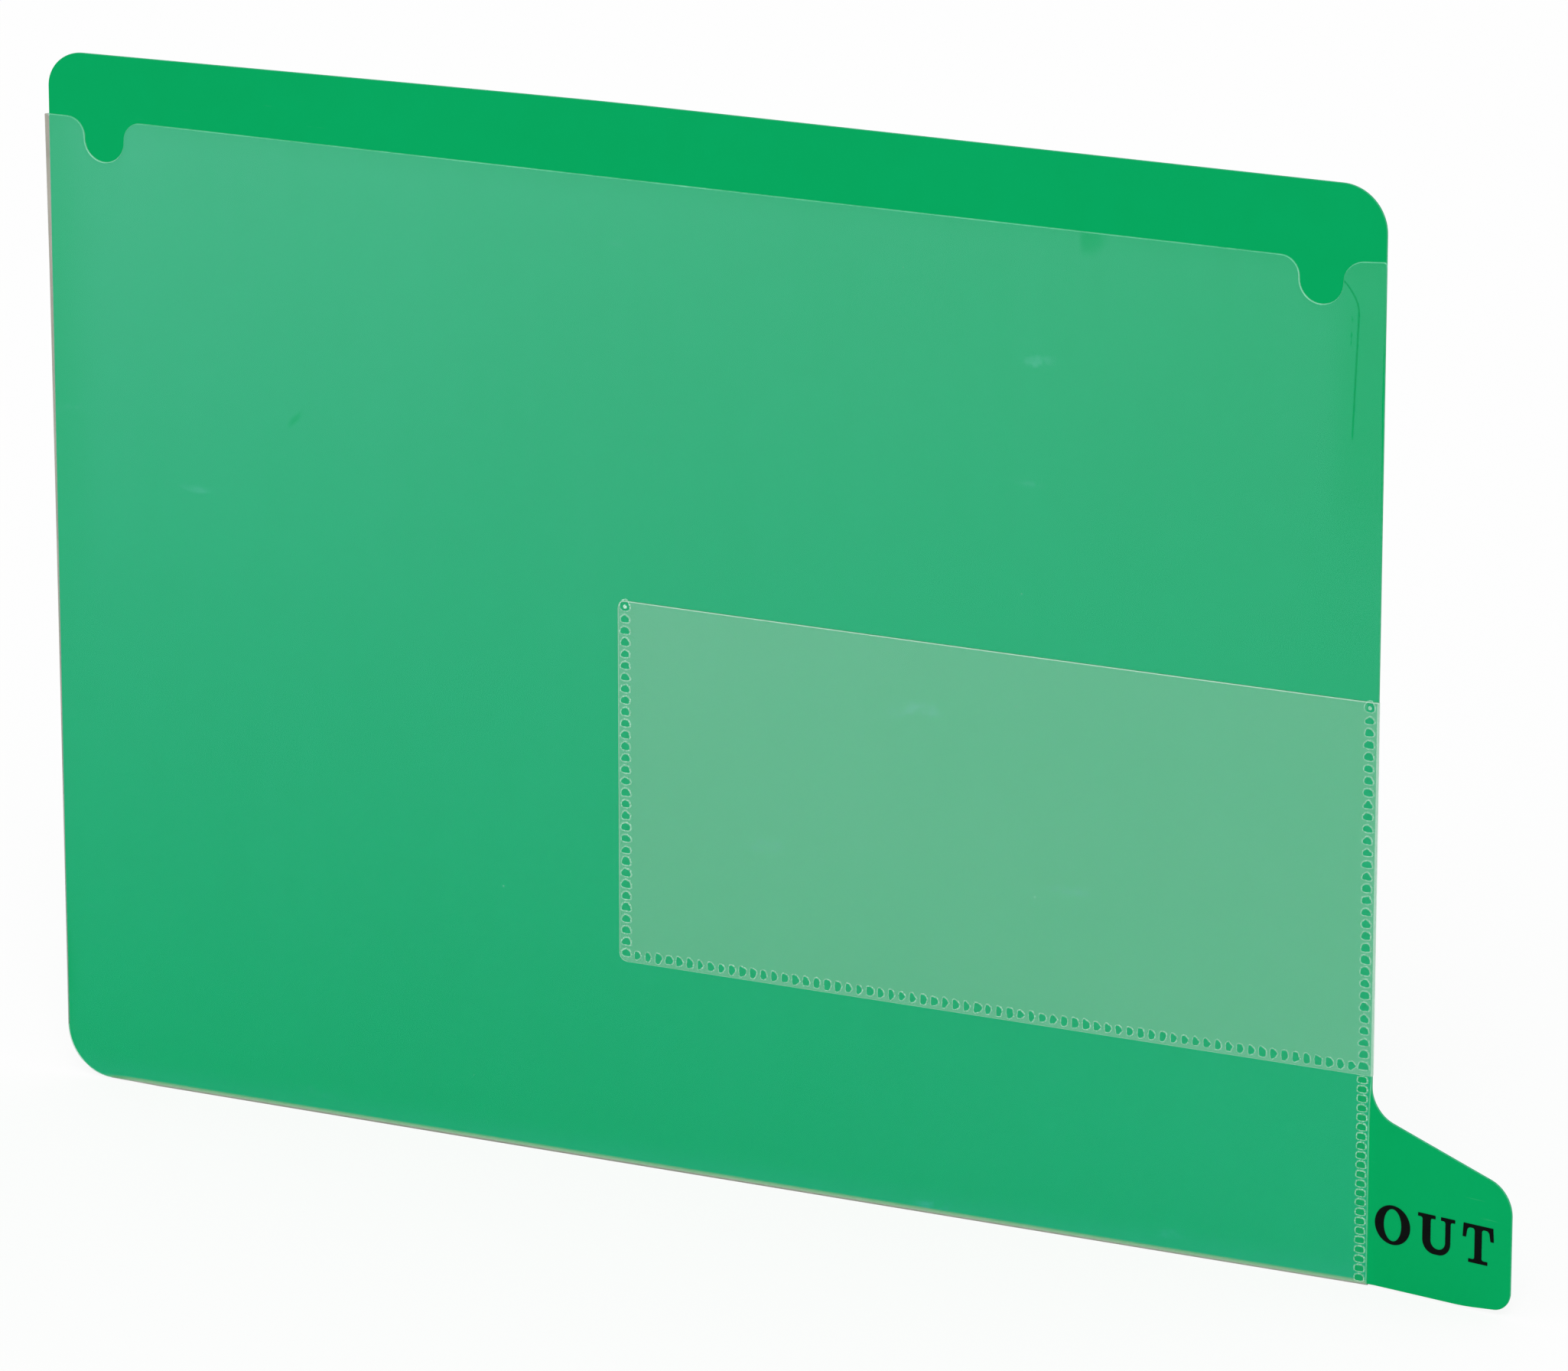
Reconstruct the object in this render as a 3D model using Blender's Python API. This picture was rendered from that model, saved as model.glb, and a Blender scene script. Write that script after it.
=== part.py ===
"""End-tab out guide for shelf filing: a stiff green sheet with a tab and two clear film pockets.

Lengths are in metres. X runs along the bottom edge towards the tab, Z runs up, and the pockets
face -Y. The origin lies on the shelf, under the middle of the sheet's body.
"""
import math

import bmesh
import bpy
from mathutils import Vector

# Green sheet, without and with its tab
BODY_WIDTH = 0.32385
BODY_HEIGHT = 0.2413
SHEET_THICKNESS = 0.0006
BODY_CORNER_RADIUS = 0.0102
TAB_PROJECTION = 0.0354
TAB_ROOT_HEIGHT = 0.0402
TAB_TIP_HEIGHT = 0.0275
TAB_TIP_RADIUS = 0.008
TAB_FOOT_RADIUS = 0.0065
TAB_ROOT_RADIUS = 0.009
TAB_BEND_ANGLE = math.radians(9.0)
TAB_BEND_START = 0.0002
TAB_BEND_LENGTH = 0.0016

# Letter pocket: film over the body, folded round the left and bottom edges onto the back
FILM_THICKNESS = 0.0002
POCKET_GAP = 0.0003
BARE_STRIP = 0.0166
FOLD_INSET = 0.0002
FOLD_SPLIT = 0.0003
HEM_WIDTH = 0.005
HEM_TOP_SLANT = 0.0018
FILM_SETBACK = 0.0007
NOTCH_WIDTH = 0.0101
NOTCH_DEPTH = 0.0097
NOTCH_INSET = 0.0145
NOTCH_MOUTH_RADIUS = 0.0043
FILM_CORNER_RADIUS = 0.0012
HINGE_RISE = 0.0025
HINGE_SPLIT = 0.0003

# Card pocket: smaller film welded onto the letter pocket
CARD_WIDTH = 0.1800
CARD_HEIGHT = 0.0829
CARD_BOTTOM = 0.0473
CARD_CORNER_RADIUS = 0.0015

# Welds: chains of pressed cells with raised rims
CARD_WELD_PITCH = 0.00258
POCKET_WELD_PITCH = 0.0021
CELL_LENGTH = 0.0016
CELL_WIDTH = 0.0022
WELD_RIM = 0.00035
WELD_HEIGHT = 0.00015
CELL_DEPTH = 0.0001
CELL_DRAFT = 0.0001
WELD_MARGIN = 0.0008
BOND_GAP = 0.00005

# Printed word on the tab
INK_THICKNESS = 0.00005
INK_GAP = 0.00002
LETTER_HEIGHT = 0.0086
LETTER_BASELINE = 0.0103
WORD_INSET = 0.0013
O_WIDTH = 0.0089
U_WIDTH = 0.0093
T_WIDTH = 0.0078
LETTER_SPACE = 0.0019
STEM_WIDTH = 0.0021
THIN_STEM = 0.0013
HAIRLINE = 0.0008
SERIF_REACH = 0.0011
T_ARM_DROP = 0.0031

# Fineness of the round shapes
ARC_STEP = math.radians(12.0)
FOLD_STEPS = 8
LETTER_STEPS = 40
BEND_STEPS = 4
MERGE_DISTANCE = 1e-7

GREEN = (0.0, 0.386, 0.107)
FILM = (0.62, 0.80, 0.70)
CARD_FILM = (0.68, 0.83, 0.75)
WELD = (0.42, 0.70, 0.55)
INK = (0.012, 0.012, 0.012)

LEFT = -BODY_WIDTH / 2.0
RIGHT = BODY_WIDTH / 2.0
SHEET_FRONT = -SHEET_THICKNESS / 2.0
SHEET_BACK = SHEET_THICKNESS / 2.0
FILM_BACK = SHEET_FRONT - POCKET_GAP
FILM_MIDDLE = FILM_BACK - FILM_THICKNESS / 2.0
FILM_FRONT = FILM_BACK - FILM_THICKNESS
CARD_FRONT = FILM_FRONT - POCKET_GAP - FILM_THICKNESS
FOLD_RADIUS = -FILM_MIDDLE
SHEET_BOTTOM = FOLD_RADIUS + FILM_THICKNESS / 2.0 - FOLD_INSET
SHEET_TOP = SHEET_BOTTOM + BODY_HEIGHT
FILM_TOP = SHEET_TOP - BARE_STRIP
FILM_RIGHT = RIGHT - FILM_SETBACK
FILM_LEFT = LEFT + FOLD_INSET + FOLD_SPLIT
FILM_FLOOR = SHEET_BOTTOM + FOLD_INSET + FOLD_SPLIT
CARD_FLOOR = SHEET_BOTTOM + CARD_BOTTOM
CARD_TOP = CARD_FLOOR + CARD_HEIGHT
CARD_LEFT = FILM_RIGHT - CARD_WIDTH


def material(name, colour, roughness, alpha=1.0):
    """Plain plastic or ink in one colour."""
    made = bpy.data.materials.new(name)
    made.use_nodes = True
    shader = made.node_tree.nodes["Principled BSDF"]
    shader.inputs["Base Color"].default_value = (*colour, 1.0)
    shader.inputs["Roughness"].default_value = roughness
    shader.inputs["Metallic"].default_value = 0.0
    shader.inputs["Alpha"].default_value = alpha
    return made


def add_object(name, mesh, finish, origin=(0.0, 0.0, 0.0)):
    """Object of that mesh, with its origin moved to a point while its faces stay where they are."""
    bmesh.ops.translate(mesh, verts=mesh.verts, vec=-Vector(origin))
    data = bpy.data.meshes.new(name)
    mesh.to_mesh(data)
    mesh.free()
    data.materials.append(finish)
    item = bpy.data.objects.new(name, data)
    item.location = origin
    bpy.context.scene.collection.objects.link(item)
    return item


def rounded_outline(corners):
    """Points of a polygon in X and Z whose corners, given as (x, z, radius), are rounded by arcs."""
    points = []
    for index, (x, z, radius) in enumerate(corners):
        here = Vector((x, z))
        before = (Vector(corners[index - 1][:2]) - here).normalized()
        after = (Vector(corners[(index + 1) % len(corners)][:2]) - here).normalized()
        if radius == 0.0:
            points.append(here)
            continue
        half_angle = before.angle(after) / 2.0
        reach = radius / math.tan(half_angle)
        centre = here + (before + after).normalized() * (radius / math.sin(half_angle))
        first = here + before * reach - centre
        last = here + after * reach - centre
        sweep = math.atan2(first.x * last.y - first.y * last.x, first.dot(last))
        steps = max(2, math.ceil(abs(sweep) / ARC_STEP))
        start = math.atan2(first.y, first.x)
        for step in range(steps + 1):
            angle = start + sweep * step / steps
            points.append(centre + radius * Vector((math.cos(angle), math.sin(angle))))
    return [p for i, p in enumerate(points) if (p - points[i - 1]).length > MERGE_DISTANCE]


def plate(outline, front, thickness):
    """Flat solid with an outline in X and Z, from y = front back through its thickness."""
    mesh = bmesh.new()
    faces = []
    for y in (front, front + thickness):
        faces.append([mesh.verts.new((p[0], y, p[1])) for p in outline])
    mesh.faces.new(faces[0])
    mesh.faces.new(faces[1])
    for i in range(len(outline)):
        mesh.faces.new((faces[0][i - 1], faces[0][i], faces[1][i], faces[1][i - 1]))
    bmesh.ops.recalc_face_normals(mesh, faces=mesh.faces)
    return mesh


def ring_plate(outer, inner, front, thickness):
    """Flat ring between two outlines with as many points, from y = front back."""
    mesh = bmesh.new()
    back = front + thickness
    loops = []
    for outline, y in ((outer, front), (inner, front), (inner, back), (outer, back)):
        loops.append([mesh.verts.new((p[0], y, p[1])) for p in outline])
    for lap, loop in enumerate(loops):
        for i in range(len(outer)):
            mesh.faces.new((loops[lap - 1][i - 1], loops[lap - 1][i], loop[i], loop[i - 1]))
    bmesh.ops.recalc_face_normals(mesh, faces=mesh.faces)
    return mesh


def notch_corners(middle):
    """Corners of one relief notch in the film's top edge, from its right side to its left."""
    half = NOTCH_WIDTH / 2.0
    floor = FILM_TOP - NOTCH_DEPTH
    mouth = min(NOTCH_MOUTH_RADIUS, NOTCH_DEPTH - half)
    return [
        (middle + half, FILM_TOP, mouth),
        (middle + half, floor, half),
        (middle - half, floor, half),
        (middle - half, FILM_TOP, mouth),
    ]


def film_top_edge():
    """Points of the film's top edge from its right corner to its left fold, with both notches."""
    corners = [(FILM_RIGHT, FILM_TOP, FILM_CORNER_RADIUS)]
    corners += notch_corners(RIGHT - NOTCH_INSET)
    corners += notch_corners(LEFT + NOTCH_INSET)
    corners.append((FILM_LEFT, FILM_TOP, 0.0))
    closing = [(FILM_LEFT, FILM_FLOOR, 0.0), (FILM_RIGHT, FILM_FLOOR, 0.0)]
    return rounded_outline(corners + closing)[:-len(closing)]


def bend_tab(mesh):
    """Turns what lies beyond the body forward, in equal steps along a short stretch beside the body."""
    start = RIGHT + TAB_BEND_START
    step_length = TAB_BEND_LENGTH / BEND_STEPS
    creases = [start + step_length * (step + 0.5) for step in range(BEND_STEPS)]
    for crease in creases:
        everything = mesh.verts[:] + mesh.edges[:] + mesh.faces[:]
        bmesh.ops.bisect_plane(mesh, geom=everything, dist=MERGE_DISTANCE, plane_co=(crease, 0.0, 0.0),
                               plane_no=(1.0, 0.0, 0.0))
    for vert in mesh.verts:
        flat_x = vert.co.x
        for step, crease in enumerate(creases):
            beyond = max(0.0, flat_x - crease)
            before = TAB_BEND_ANGLE * step / BEND_STEPS
            after = TAB_BEND_ANGLE * (step + 1) / BEND_STEPS
            vert.co.x += beyond * (math.cos(after) - math.cos(before))
            vert.co.y -= beyond * (math.sin(after) - math.sin(before))


def green_sheet():
    """The stiff sheet: a rounded rectangle that runs out into the tab at its lower right."""
    tip = RIGHT + TAB_PROJECTION
    corners = [
        (LEFT, SHEET_BOTTOM, BODY_CORNER_RADIUS),
        (tip, SHEET_BOTTOM, TAB_FOOT_RADIUS),
        (tip, SHEET_BOTTOM + TAB_TIP_HEIGHT, TAB_TIP_RADIUS),
        (RIGHT, SHEET_BOTTOM + TAB_ROOT_HEIGHT, TAB_ROOT_RADIUS),
        (RIGHT, SHEET_TOP, BODY_CORNER_RADIUS),
        (LEFT, SHEET_TOP, BODY_CORNER_RADIUS),
    ]
    mesh = plate(rounded_outline(corners), SHEET_FRONT, SHEET_THICKNESS)
    bend_tab(mesh)
    add_object("guide_panel", mesh, material("green_plastic", GREEN, roughness=0.45))


def bend_line():
    """Ends of the line across the film about which its free corner lifts."""
    left_end = Vector((LEFT + NOTCH_INSET, FILM_TOP - NOTCH_DEPTH))
    right_end = Vector((FILM_RIGHT, CARD_TOP + HINGE_RISE))
    return left_end, right_end


def bend_offset():
    """Half the split between the fixed film and the lifting corner, square to the bend line."""
    left_end, right_end = bend_line()
    along = (right_end - left_end).normalized()
    return Vector((-along.y, along.x)) * (HINGE_SPLIT / 2.0)


def fixed_film(finish):
    """The front film that stays put, from the left and bottom folds up to the bend line."""
    left_end, right_end = bend_line()
    offset = bend_offset()
    turn = BODY_CORNER_RADIUS - FOLD_INSET - FOLD_SPLIT
    outline = [p for p in film_top_edge() if p.x < left_end.x - MERGE_DISTANCE]
    lower = [(FILM_LEFT, FILM_TOP, 0.0), (FILM_LEFT, FILM_FLOOR, turn), (FILM_RIGHT, FILM_FLOOR, 0.0)]
    outline += rounded_outline(lower)[1:]
    outline += [right_end - offset, left_end - offset]
    add_object("letter_pocket_film", plate(outline, FILM_FRONT, FILM_THICKNESS), finish)


def film_hem(name, finish, ends):
    """One folded edge of the film: half a turn round the sheet's edge, then a flat hem behind it.

    ends gives the strip's two end points for a depth y, a reach outward and the share of the turn.
    """
    path = []
    for step in range(FOLD_STEPS + 1):
        angle = math.pi * step / FOLD_STEPS
        path.append((-FOLD_RADIUS * math.cos(angle), FOLD_RADIUS * math.sin(angle), step / FOLD_STEPS))
    path.append((FOLD_RADIUS, -HEM_WIDTH, 1.0))
    mesh = bmesh.new()
    rows = [[mesh.verts.new(point) for point in ends(*place)] for place in path]
    for first, second in zip(rows, rows[1:]):
        mesh.faces.new((first[0], first[1], second[1], second[0]))
    bmesh.ops.recalc_face_normals(mesh, faces=mesh.faces)
    hem = add_object(name, mesh, finish)
    wall = hem.modifiers.new("film_thickness", "SOLIDIFY")
    wall.thickness = FILM_THICKNESS
    wall.offset = 0.0
    wall.use_even_offset = True


def film_hems(finish):
    """The film's left and bottom folds, whose hems are cut back where they would meet."""
    fold_left = LEFT + FOLD_INSET
    fold_floor = SHEET_BOTTOM + FOLD_INSET
    corner_x = LEFT + BODY_CORNER_RADIUS
    corner_z = SHEET_BOTTOM + BODY_CORNER_RADIUS

    def left_ends(y, outward, share):
        inward = max(0.0, -outward)
        top = FILM_TOP - share * HEM_TOP_SLANT - inward / 2.0
        return (fold_left - outward, y, corner_z + inward), (fold_left - outward, y, top)

    def bottom_ends(y, outward, share):
        inward = max(0.0, -outward)
        return (corner_x + inward, y, fold_floor - outward), (FILM_RIGHT, y, fold_floor - outward)

    film_hem("letter_pocket_hem_left", finish, left_ends)
    film_hem("letter_pocket_hem_bottom", finish, bottom_ends)


def lifting_corner(finish):
    """The free upper right corner of the film, with its origin on the line it bends about."""
    left_end, right_end = bend_line()
    offset = bend_offset()
    outline = [p for p in film_top_edge() if p.x > left_end.x + MERGE_DISTANCE]
    outline += [left_end + offset, right_end + offset]
    mesh = plate(outline, FILM_FRONT, FILM_THICKNESS)
    middle = (left_end + right_end) / 2.0
    add_object("letter_pocket_flap", mesh, finish, (middle.x, FILM_MIDDLE, middle.y))


def card_film():
    """The smaller film, open at its top edge."""
    corners = [
        (CARD_LEFT, CARD_FLOOR, CARD_CORNER_RADIUS),
        (FILM_RIGHT, CARD_FLOOR, CARD_CORNER_RADIUS),
        (FILM_RIGHT, CARD_TOP, CARD_CORNER_RADIUS),
        (CARD_LEFT, CARD_TOP, CARD_CORNER_RADIUS),
    ]
    mesh = plate(rounded_outline(corners), CARD_FRONT, FILM_THICKNESS)
    add_object("card_pocket_film", mesh, material("card_film", CARD_FILM, roughness=0.3, alpha=0.4))


def weld_chain(name, finish, start, along, length, pitch, front):
    """One weld: a thin strip on a film with a row of pressed cells, as many as fit its length."""
    along = Vector(along)
    across = Vector((along.y, -along.x))
    count = max(1, int(length / pitch))
    step = length / count
    half_outer = CELL_WIDTH / 2.0 + WELD_RIM
    half_cell = CELL_WIDTH / 2.0
    lanes = (-half_outer, -half_cell, half_cell, half_outer)
    stations = [0.0]
    for cell in range(count):
        middle = (cell + 0.5) * step
        stations += [middle - CELL_LENGTH / 2.0, middle + CELL_LENGTH / 2.0]
    stations.append(length)
    mesh = bmesh.new()

    top = []
    for station in stations:
        points = [Vector(start) + along * station + across * lane for lane in lanes]
        top.append([mesh.verts.new((p.x, front - WELD_HEIGHT, p.y)) for p in points])
    cells = []
    for row in range(len(stations) - 1):
        for lane in range(len(lanes) - 1):
            near = top[row][lane:lane + 2]
            far = top[row + 1][lane:lane + 2]
            face = mesh.faces.new((*near, *reversed(far)))
            if row % 2 and lane == 1:
                cells.append(face)
    skirt = bmesh.ops.extrude_edge_only(mesh, edges=[e for e in mesh.edges if e.is_boundary])["geom"]
    for part in skirt:
        if isinstance(part, bmesh.types.BMVert):
            part.co.y = front
    bmesh.ops.holes_fill(mesh, edges=[e for e in mesh.edges if e.is_boundary], sides=0)
    bmesh.ops.recalc_face_normals(mesh, faces=mesh.faces)
    bmesh.ops.inset_individual(mesh, faces=cells, thickness=CELL_DRAFT, depth=-CELL_DEPTH)
    add_object(name, mesh, finish)


def weld_seams():
    """The four welds: three round the card pocket and one from there down to the bottom edge."""
    finish = material("weld_ridge", WELD, roughness=0.35)
    half = CELL_WIDTH / 2.0 + WELD_RIM
    left_line = CARD_LEFT + WELD_MARGIN + half
    right_line = FILM_RIGHT - WELD_MARGIN / 2.0 - half
    floor = CARD_FLOOR + WELD_MARGIN
    ceiling = CARD_TOP - WELD_MARGIN
    on_card = CARD_FRONT - BOND_GAP
    on_film = FILM_FRONT - BOND_GAP
    up = (0.0, 1.0)
    weld_chain("card_seam_left", finish, (left_line, floor), up, ceiling - floor, CARD_WELD_PITCH, on_card)
    weld_chain("card_seam_right", finish, (right_line, floor), up, ceiling - floor, CARD_WELD_PITCH, on_card)
    row_start = left_line + half + POCKET_GAP
    row_length = right_line - half - POCKET_GAP - row_start
    weld_chain("card_seam_bottom", finish, (row_start, floor + half), (1.0, 0.0), row_length,
               CARD_WELD_PITCH, on_card)
    foot = SHEET_BOTTOM + FOLD_INSET
    pocket_run = CARD_FLOOR - POCKET_GAP - foot
    weld_chain("pocket_seam_right", finish, (right_line, foot), up, pocket_run, POCKET_WELD_PITCH, on_film)


def letter_o(left, base):
    """Outer and inner outline of the O, an upright ellipse with heavy sides and thin top."""
    outer = []
    inner = []
    centre = Vector((left + O_WIDTH / 2.0, base + LETTER_HEIGHT / 2.0))
    for step in range(LETTER_STEPS):
        angle = 2.0 * math.pi * step / LETTER_STEPS
        unit = Vector((math.cos(angle), math.sin(angle)))
        outer.append(centre + Vector((unit.x * O_WIDTH / 2.0, unit.y * LETTER_HEIGHT / 2.0)))
        inner_size = Vector((O_WIDTH / 2.0 - STEM_WIDTH, LETTER_HEIGHT / 2.0 - HAIRLINE))
        inner.append(centre + Vector((unit.x * inner_size.x, unit.y * inner_size.y)))
    return outer, inner


def letter_u(left, base):
    """Outline of the U: a heavy left stem, a thin right stem, a round bowl and flat serifs."""
    top = base + LETTER_HEIGHT
    serif = top - HAIRLINE
    right = left + U_WIDTH
    stem = left + SERIF_REACH
    thin = right - SERIF_REACH - THIN_STEM
    bowl = (right - SERIF_REACH - stem) / 2.0
    inner_bowl = (thin - stem - STEM_WIDTH) / 2.0
    return rounded_outline([
        (left, top, 0.0), (left, serif, 0.0), (stem, serif, 0.0),
        (stem, base, bowl), (right - SERIF_REACH, base, bowl),
        (right - SERIF_REACH, serif, 0.0), (right, serif, 0.0), (right, top, 0.0),
        (thin - SERIF_REACH, top, 0.0), (thin - SERIF_REACH, serif, 0.0), (thin, serif, 0.0),
        (thin, base + 2.0 * HAIRLINE, inner_bowl),
        (stem + STEM_WIDTH, base + 2.0 * HAIRLINE, inner_bowl),
        (stem + STEM_WIDTH, serif, 0.0), (stem + STEM_WIDTH + SERIF_REACH, serif, 0.0),
        (stem + STEM_WIDTH + SERIF_REACH, top, 0.0),
    ])


def letter_t(left, base):
    """Outline of the T: a heavy stem on a flat foot, under an arm with hanging ends."""
    top = base + LETTER_HEIGHT
    arm = top - HAIRLINE
    right = left + T_WIDTH
    middle = (left + right) / 2.0
    stem = STEM_WIDTH / 2.0
    foot = stem + SERIF_REACH
    return [Vector(p) for p in (
        (left, top), (left, top - T_ARM_DROP), (left + HAIRLINE, top - T_ARM_DROP),
        (left + 2.0 * HAIRLINE, arm), (middle - stem, arm),
        (middle - stem, base + HAIRLINE), (middle - foot, base + HAIRLINE), (middle - foot, base),
        (middle + foot, base), (middle + foot, base + HAIRLINE), (middle + stem, base + HAIRLINE),
        (middle + stem, arm), (right - 2.0 * HAIRLINE, arm),
        (right - HAIRLINE, top - T_ARM_DROP), (right, top - T_ARM_DROP), (right, top),
    )]


def printed_word():
    """The tab's word, printed on the front and, readable from behind, on the back."""
    finish = material("black_ink", INK, roughness=0.5)
    base = SHEET_BOTTOM + LETTER_BASELINE
    start = RIGHT + WORD_INSET
    u_start = start + O_WIDTH + LETTER_SPACE
    t_start = u_start + U_WIDTH + LETTER_SPACE
    word_middle = (start + t_start + T_WIDTH) / 2.0
    outer, inner = letter_o(start, base)
    letters = {"o": (outer, inner), "u": (letter_u(u_start, base),), "t": (letter_t(t_start, base),)}
    for side, ink_front in (("front", SHEET_FRONT - INK_GAP - INK_THICKNESS), ("back", SHEET_BACK + INK_GAP)):
        for letter, outlines in letters.items():
            if side == "back":
                outlines = [[Vector((2.0 * word_middle - p.x, p.y)) for p in outline] for outline in outlines]
            make = ring_plate if len(outlines) == 2 else plate
            mesh = make(*outlines, ink_front, INK_THICKNESS)
            bend_tab(mesh)
            add_object("tab_letter_{}_{}".format(letter, side), mesh, finish)


for item in list(bpy.data.objects):
    bpy.data.objects.remove(item, do_unlink=True)

green_sheet()
pocket_film = material("pocket_film", FILM, roughness=0.3, alpha=0.35)
fixed_film(pocket_film)
film_hems(pocket_film)
lifting_corner(pocket_film)
card_film()
weld_seams()
printed_word()
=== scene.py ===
"""Finish of the end-tab out guide: a green sheet, two clear film pockets, their welds and a printed word.

Lengths are in metres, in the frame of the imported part: X towards the tab, Z up, pockets facing -Y.
"""

import bmesh
import bpy
import numpy as np
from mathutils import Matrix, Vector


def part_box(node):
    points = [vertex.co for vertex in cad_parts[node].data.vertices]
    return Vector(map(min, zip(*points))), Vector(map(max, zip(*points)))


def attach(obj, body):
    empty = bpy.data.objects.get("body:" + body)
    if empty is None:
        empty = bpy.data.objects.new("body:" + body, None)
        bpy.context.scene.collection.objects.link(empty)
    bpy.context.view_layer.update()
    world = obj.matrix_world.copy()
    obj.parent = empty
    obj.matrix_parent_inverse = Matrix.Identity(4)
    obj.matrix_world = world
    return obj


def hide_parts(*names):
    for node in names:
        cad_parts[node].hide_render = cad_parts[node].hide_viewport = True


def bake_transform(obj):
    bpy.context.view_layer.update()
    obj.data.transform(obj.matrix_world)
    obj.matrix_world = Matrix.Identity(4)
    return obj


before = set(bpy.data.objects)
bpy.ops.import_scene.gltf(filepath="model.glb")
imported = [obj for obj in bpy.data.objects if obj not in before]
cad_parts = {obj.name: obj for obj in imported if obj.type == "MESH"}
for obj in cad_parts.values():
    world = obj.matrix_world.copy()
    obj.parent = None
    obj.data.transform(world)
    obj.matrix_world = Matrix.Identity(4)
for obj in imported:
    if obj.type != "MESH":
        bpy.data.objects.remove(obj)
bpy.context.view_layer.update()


# Guide panel: one stiff sheet of green polypropylene, die-cut to a rounded rectangle with an end tab.
# The tab is bent a little forward beside the body. The cut leaves a narrow rounded rim, paler than the face.
panel_low, panel_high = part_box("guide_panel")
PANEL_LEFT = panel_low.x
PANEL_RIGHT = -panel_low.x
PANEL_FLOOR = panel_low.z
PANEL_TOP = panel_high.z
PANEL_THICKNESS = 0.0006
PANEL_RIM = 0.0001
RIM_RINGS = 7
FOOT_CORNER = 0.0114
TOP_LEFT_CORNER = 0.0088
TOP_RIGHT_CORNER = 0.0102
TOP_EDGE_BREAK = -0.012
TOP_EDGE_FALL = 0.017
TOP_EDGE_EASE = 0.02
TOP_EDGE_BAND = 0.03
TAB_LENGTH = 0.0354
TAB_ROOT_HEIGHT = 0.039
TAB_TIP_HEIGHT = 0.0279
TAB_TIP_RADIUS = 0.0078
TAB_FOOT_RADIUS = 0.0045
TAB_FOOT_RUN = 0.0115
TAB_FOOT_RISE = 0.0011
TAB_FOOT_SWEEP = 0.06
TAB_ROOT_RADIUS = 0.0076
TAB_BEND_ANGLE = np.radians(9.0)
TAB_BEND_START = 0.0002
TAB_BEND_LENGTH = 0.0016
ARC_POINTS = 25


class Wire:
    """One output of a shader node: arithmetic on it adds Math nodes, and node() adds any other node."""

    def __init__(self, socket):
        self.socket = socket
        self.tree = socket.id_data

    def node(self, kind, settings=None, sockets=None, output=0):
        """One output of a new node, after its settings and then its sockets' values or links are set."""
        made = self.tree.nodes.new(kind)
        for name, value in (settings or {}).items():
            setattr(made, name, value)
        for name, value in (sockets or {}).items():
            if isinstance(value, Wire):
                self.tree.links.new(value.socket, made.inputs[name])
            else:
                made.inputs[name].default_value = value
        return Wire(made.outputs[output])

    def reckon(self, operation, first, second=0.0):
        """Result of a Math node on one or two values."""
        return self.node("ShaderNodeMath", {"operation": operation}, {0: first, 1: second})

    def __add__(self, other):
        return self.reckon("ADD", self, other)

    def __radd__(self, other):
        return self.reckon("ADD", other, self)

    def __sub__(self, other):
        return self.reckon("SUBTRACT", self, other)

    def __rsub__(self, other):
        return self.reckon("SUBTRACT", other, self)

    def __mul__(self, other):
        return self.reckon("MULTIPLY", self, other)

    def __rmul__(self, other):
        return self.reckon("MULTIPLY", other, self)

    def __abs__(self):
        return self.reckon("ABSOLUTE", self)

    def above(self, floor):
        """The larger of the value and the floor, which may be a number or another wire."""
        return self.reckon("MAXIMUM", self, floor)

    def axis(self, name):
        """One coordinate, X, Y or Z, of a point."""
        return self.node("ShaderNodeSeparateXYZ", sockets={0: self}, output=name)

    def fade(self, nought, full):
        """Smooth mask that is 0 where the value is at nought and 1 where it is at full."""
        sockets = {"Value": self, "From Min": nought, "From Max": full}
        return self.node("ShaderNodeMapRange", {"interpolation_type": "SMOOTHSTEP"}, sockets)

    def mix(self, first, second):
        """Colour that goes from the first to the second as the value goes from 0 to 1."""
        return self.node("ShaderNodeMix", {"data_type": "RGBA"}, {0: self, 6: first, 7: second}, 2)

    def bump(self, strength, distance):
        """Normal of a surface that has the value as its relief, distance high for a value of 1."""
        sockets = {"Height": self, "Strength": strength, "Distance": distance}
        return self.node("ShaderNodeBump", sockets=sockets)

    def noise(self, scale, detail=2.0, stretch=(1.0, 1.0, 1.0)):
        """Cloudy value from 0 to 1 at a point, with about scale clouds a metre, drawn out along an axis."""
        place = self.node("ShaderNodeMapping", sockets={"Vector": self, "Scale": stretch})
        return self.node("ShaderNodeTexNoise", sockets={"Vector": place, "Scale": scale, "Detail": detail})

    def specks(self, scale, radius):
        """Round spots of uneven size, at most one in each cell of a loose net with scale cells a metre.

        A cell's chance, from 0 to 1, leaves it bare up to 0.55 and then sets its spot's share of the radius.
        """
        distance = self.node("ShaderNodeTexVoronoi", sockets={"Vector": self, "Scale": scale})
        chance = self.node("ShaderNodeTexVoronoi", sockets={"Vector": self, "Scale": scale}, output="Color")
        size = chance.node("ShaderNodeSeparateColor", sockets={0: chance}, output="Red").fade(0.55, 1.0)
        return (size * radius * scale - distance).fade(0.0, 0.25 * radius * scale)


def colour(red, green, blue):
    """Linear colour of a shade given in the usual 0 to 255 values."""
    share = np.array((red, green, blue)) / 255.0
    linear = np.where(share <= 0.04045, share / 12.92, ((share + 0.055) / 1.055) ** 2.4)
    return (*linear.tolist(), 1.0)


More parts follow.
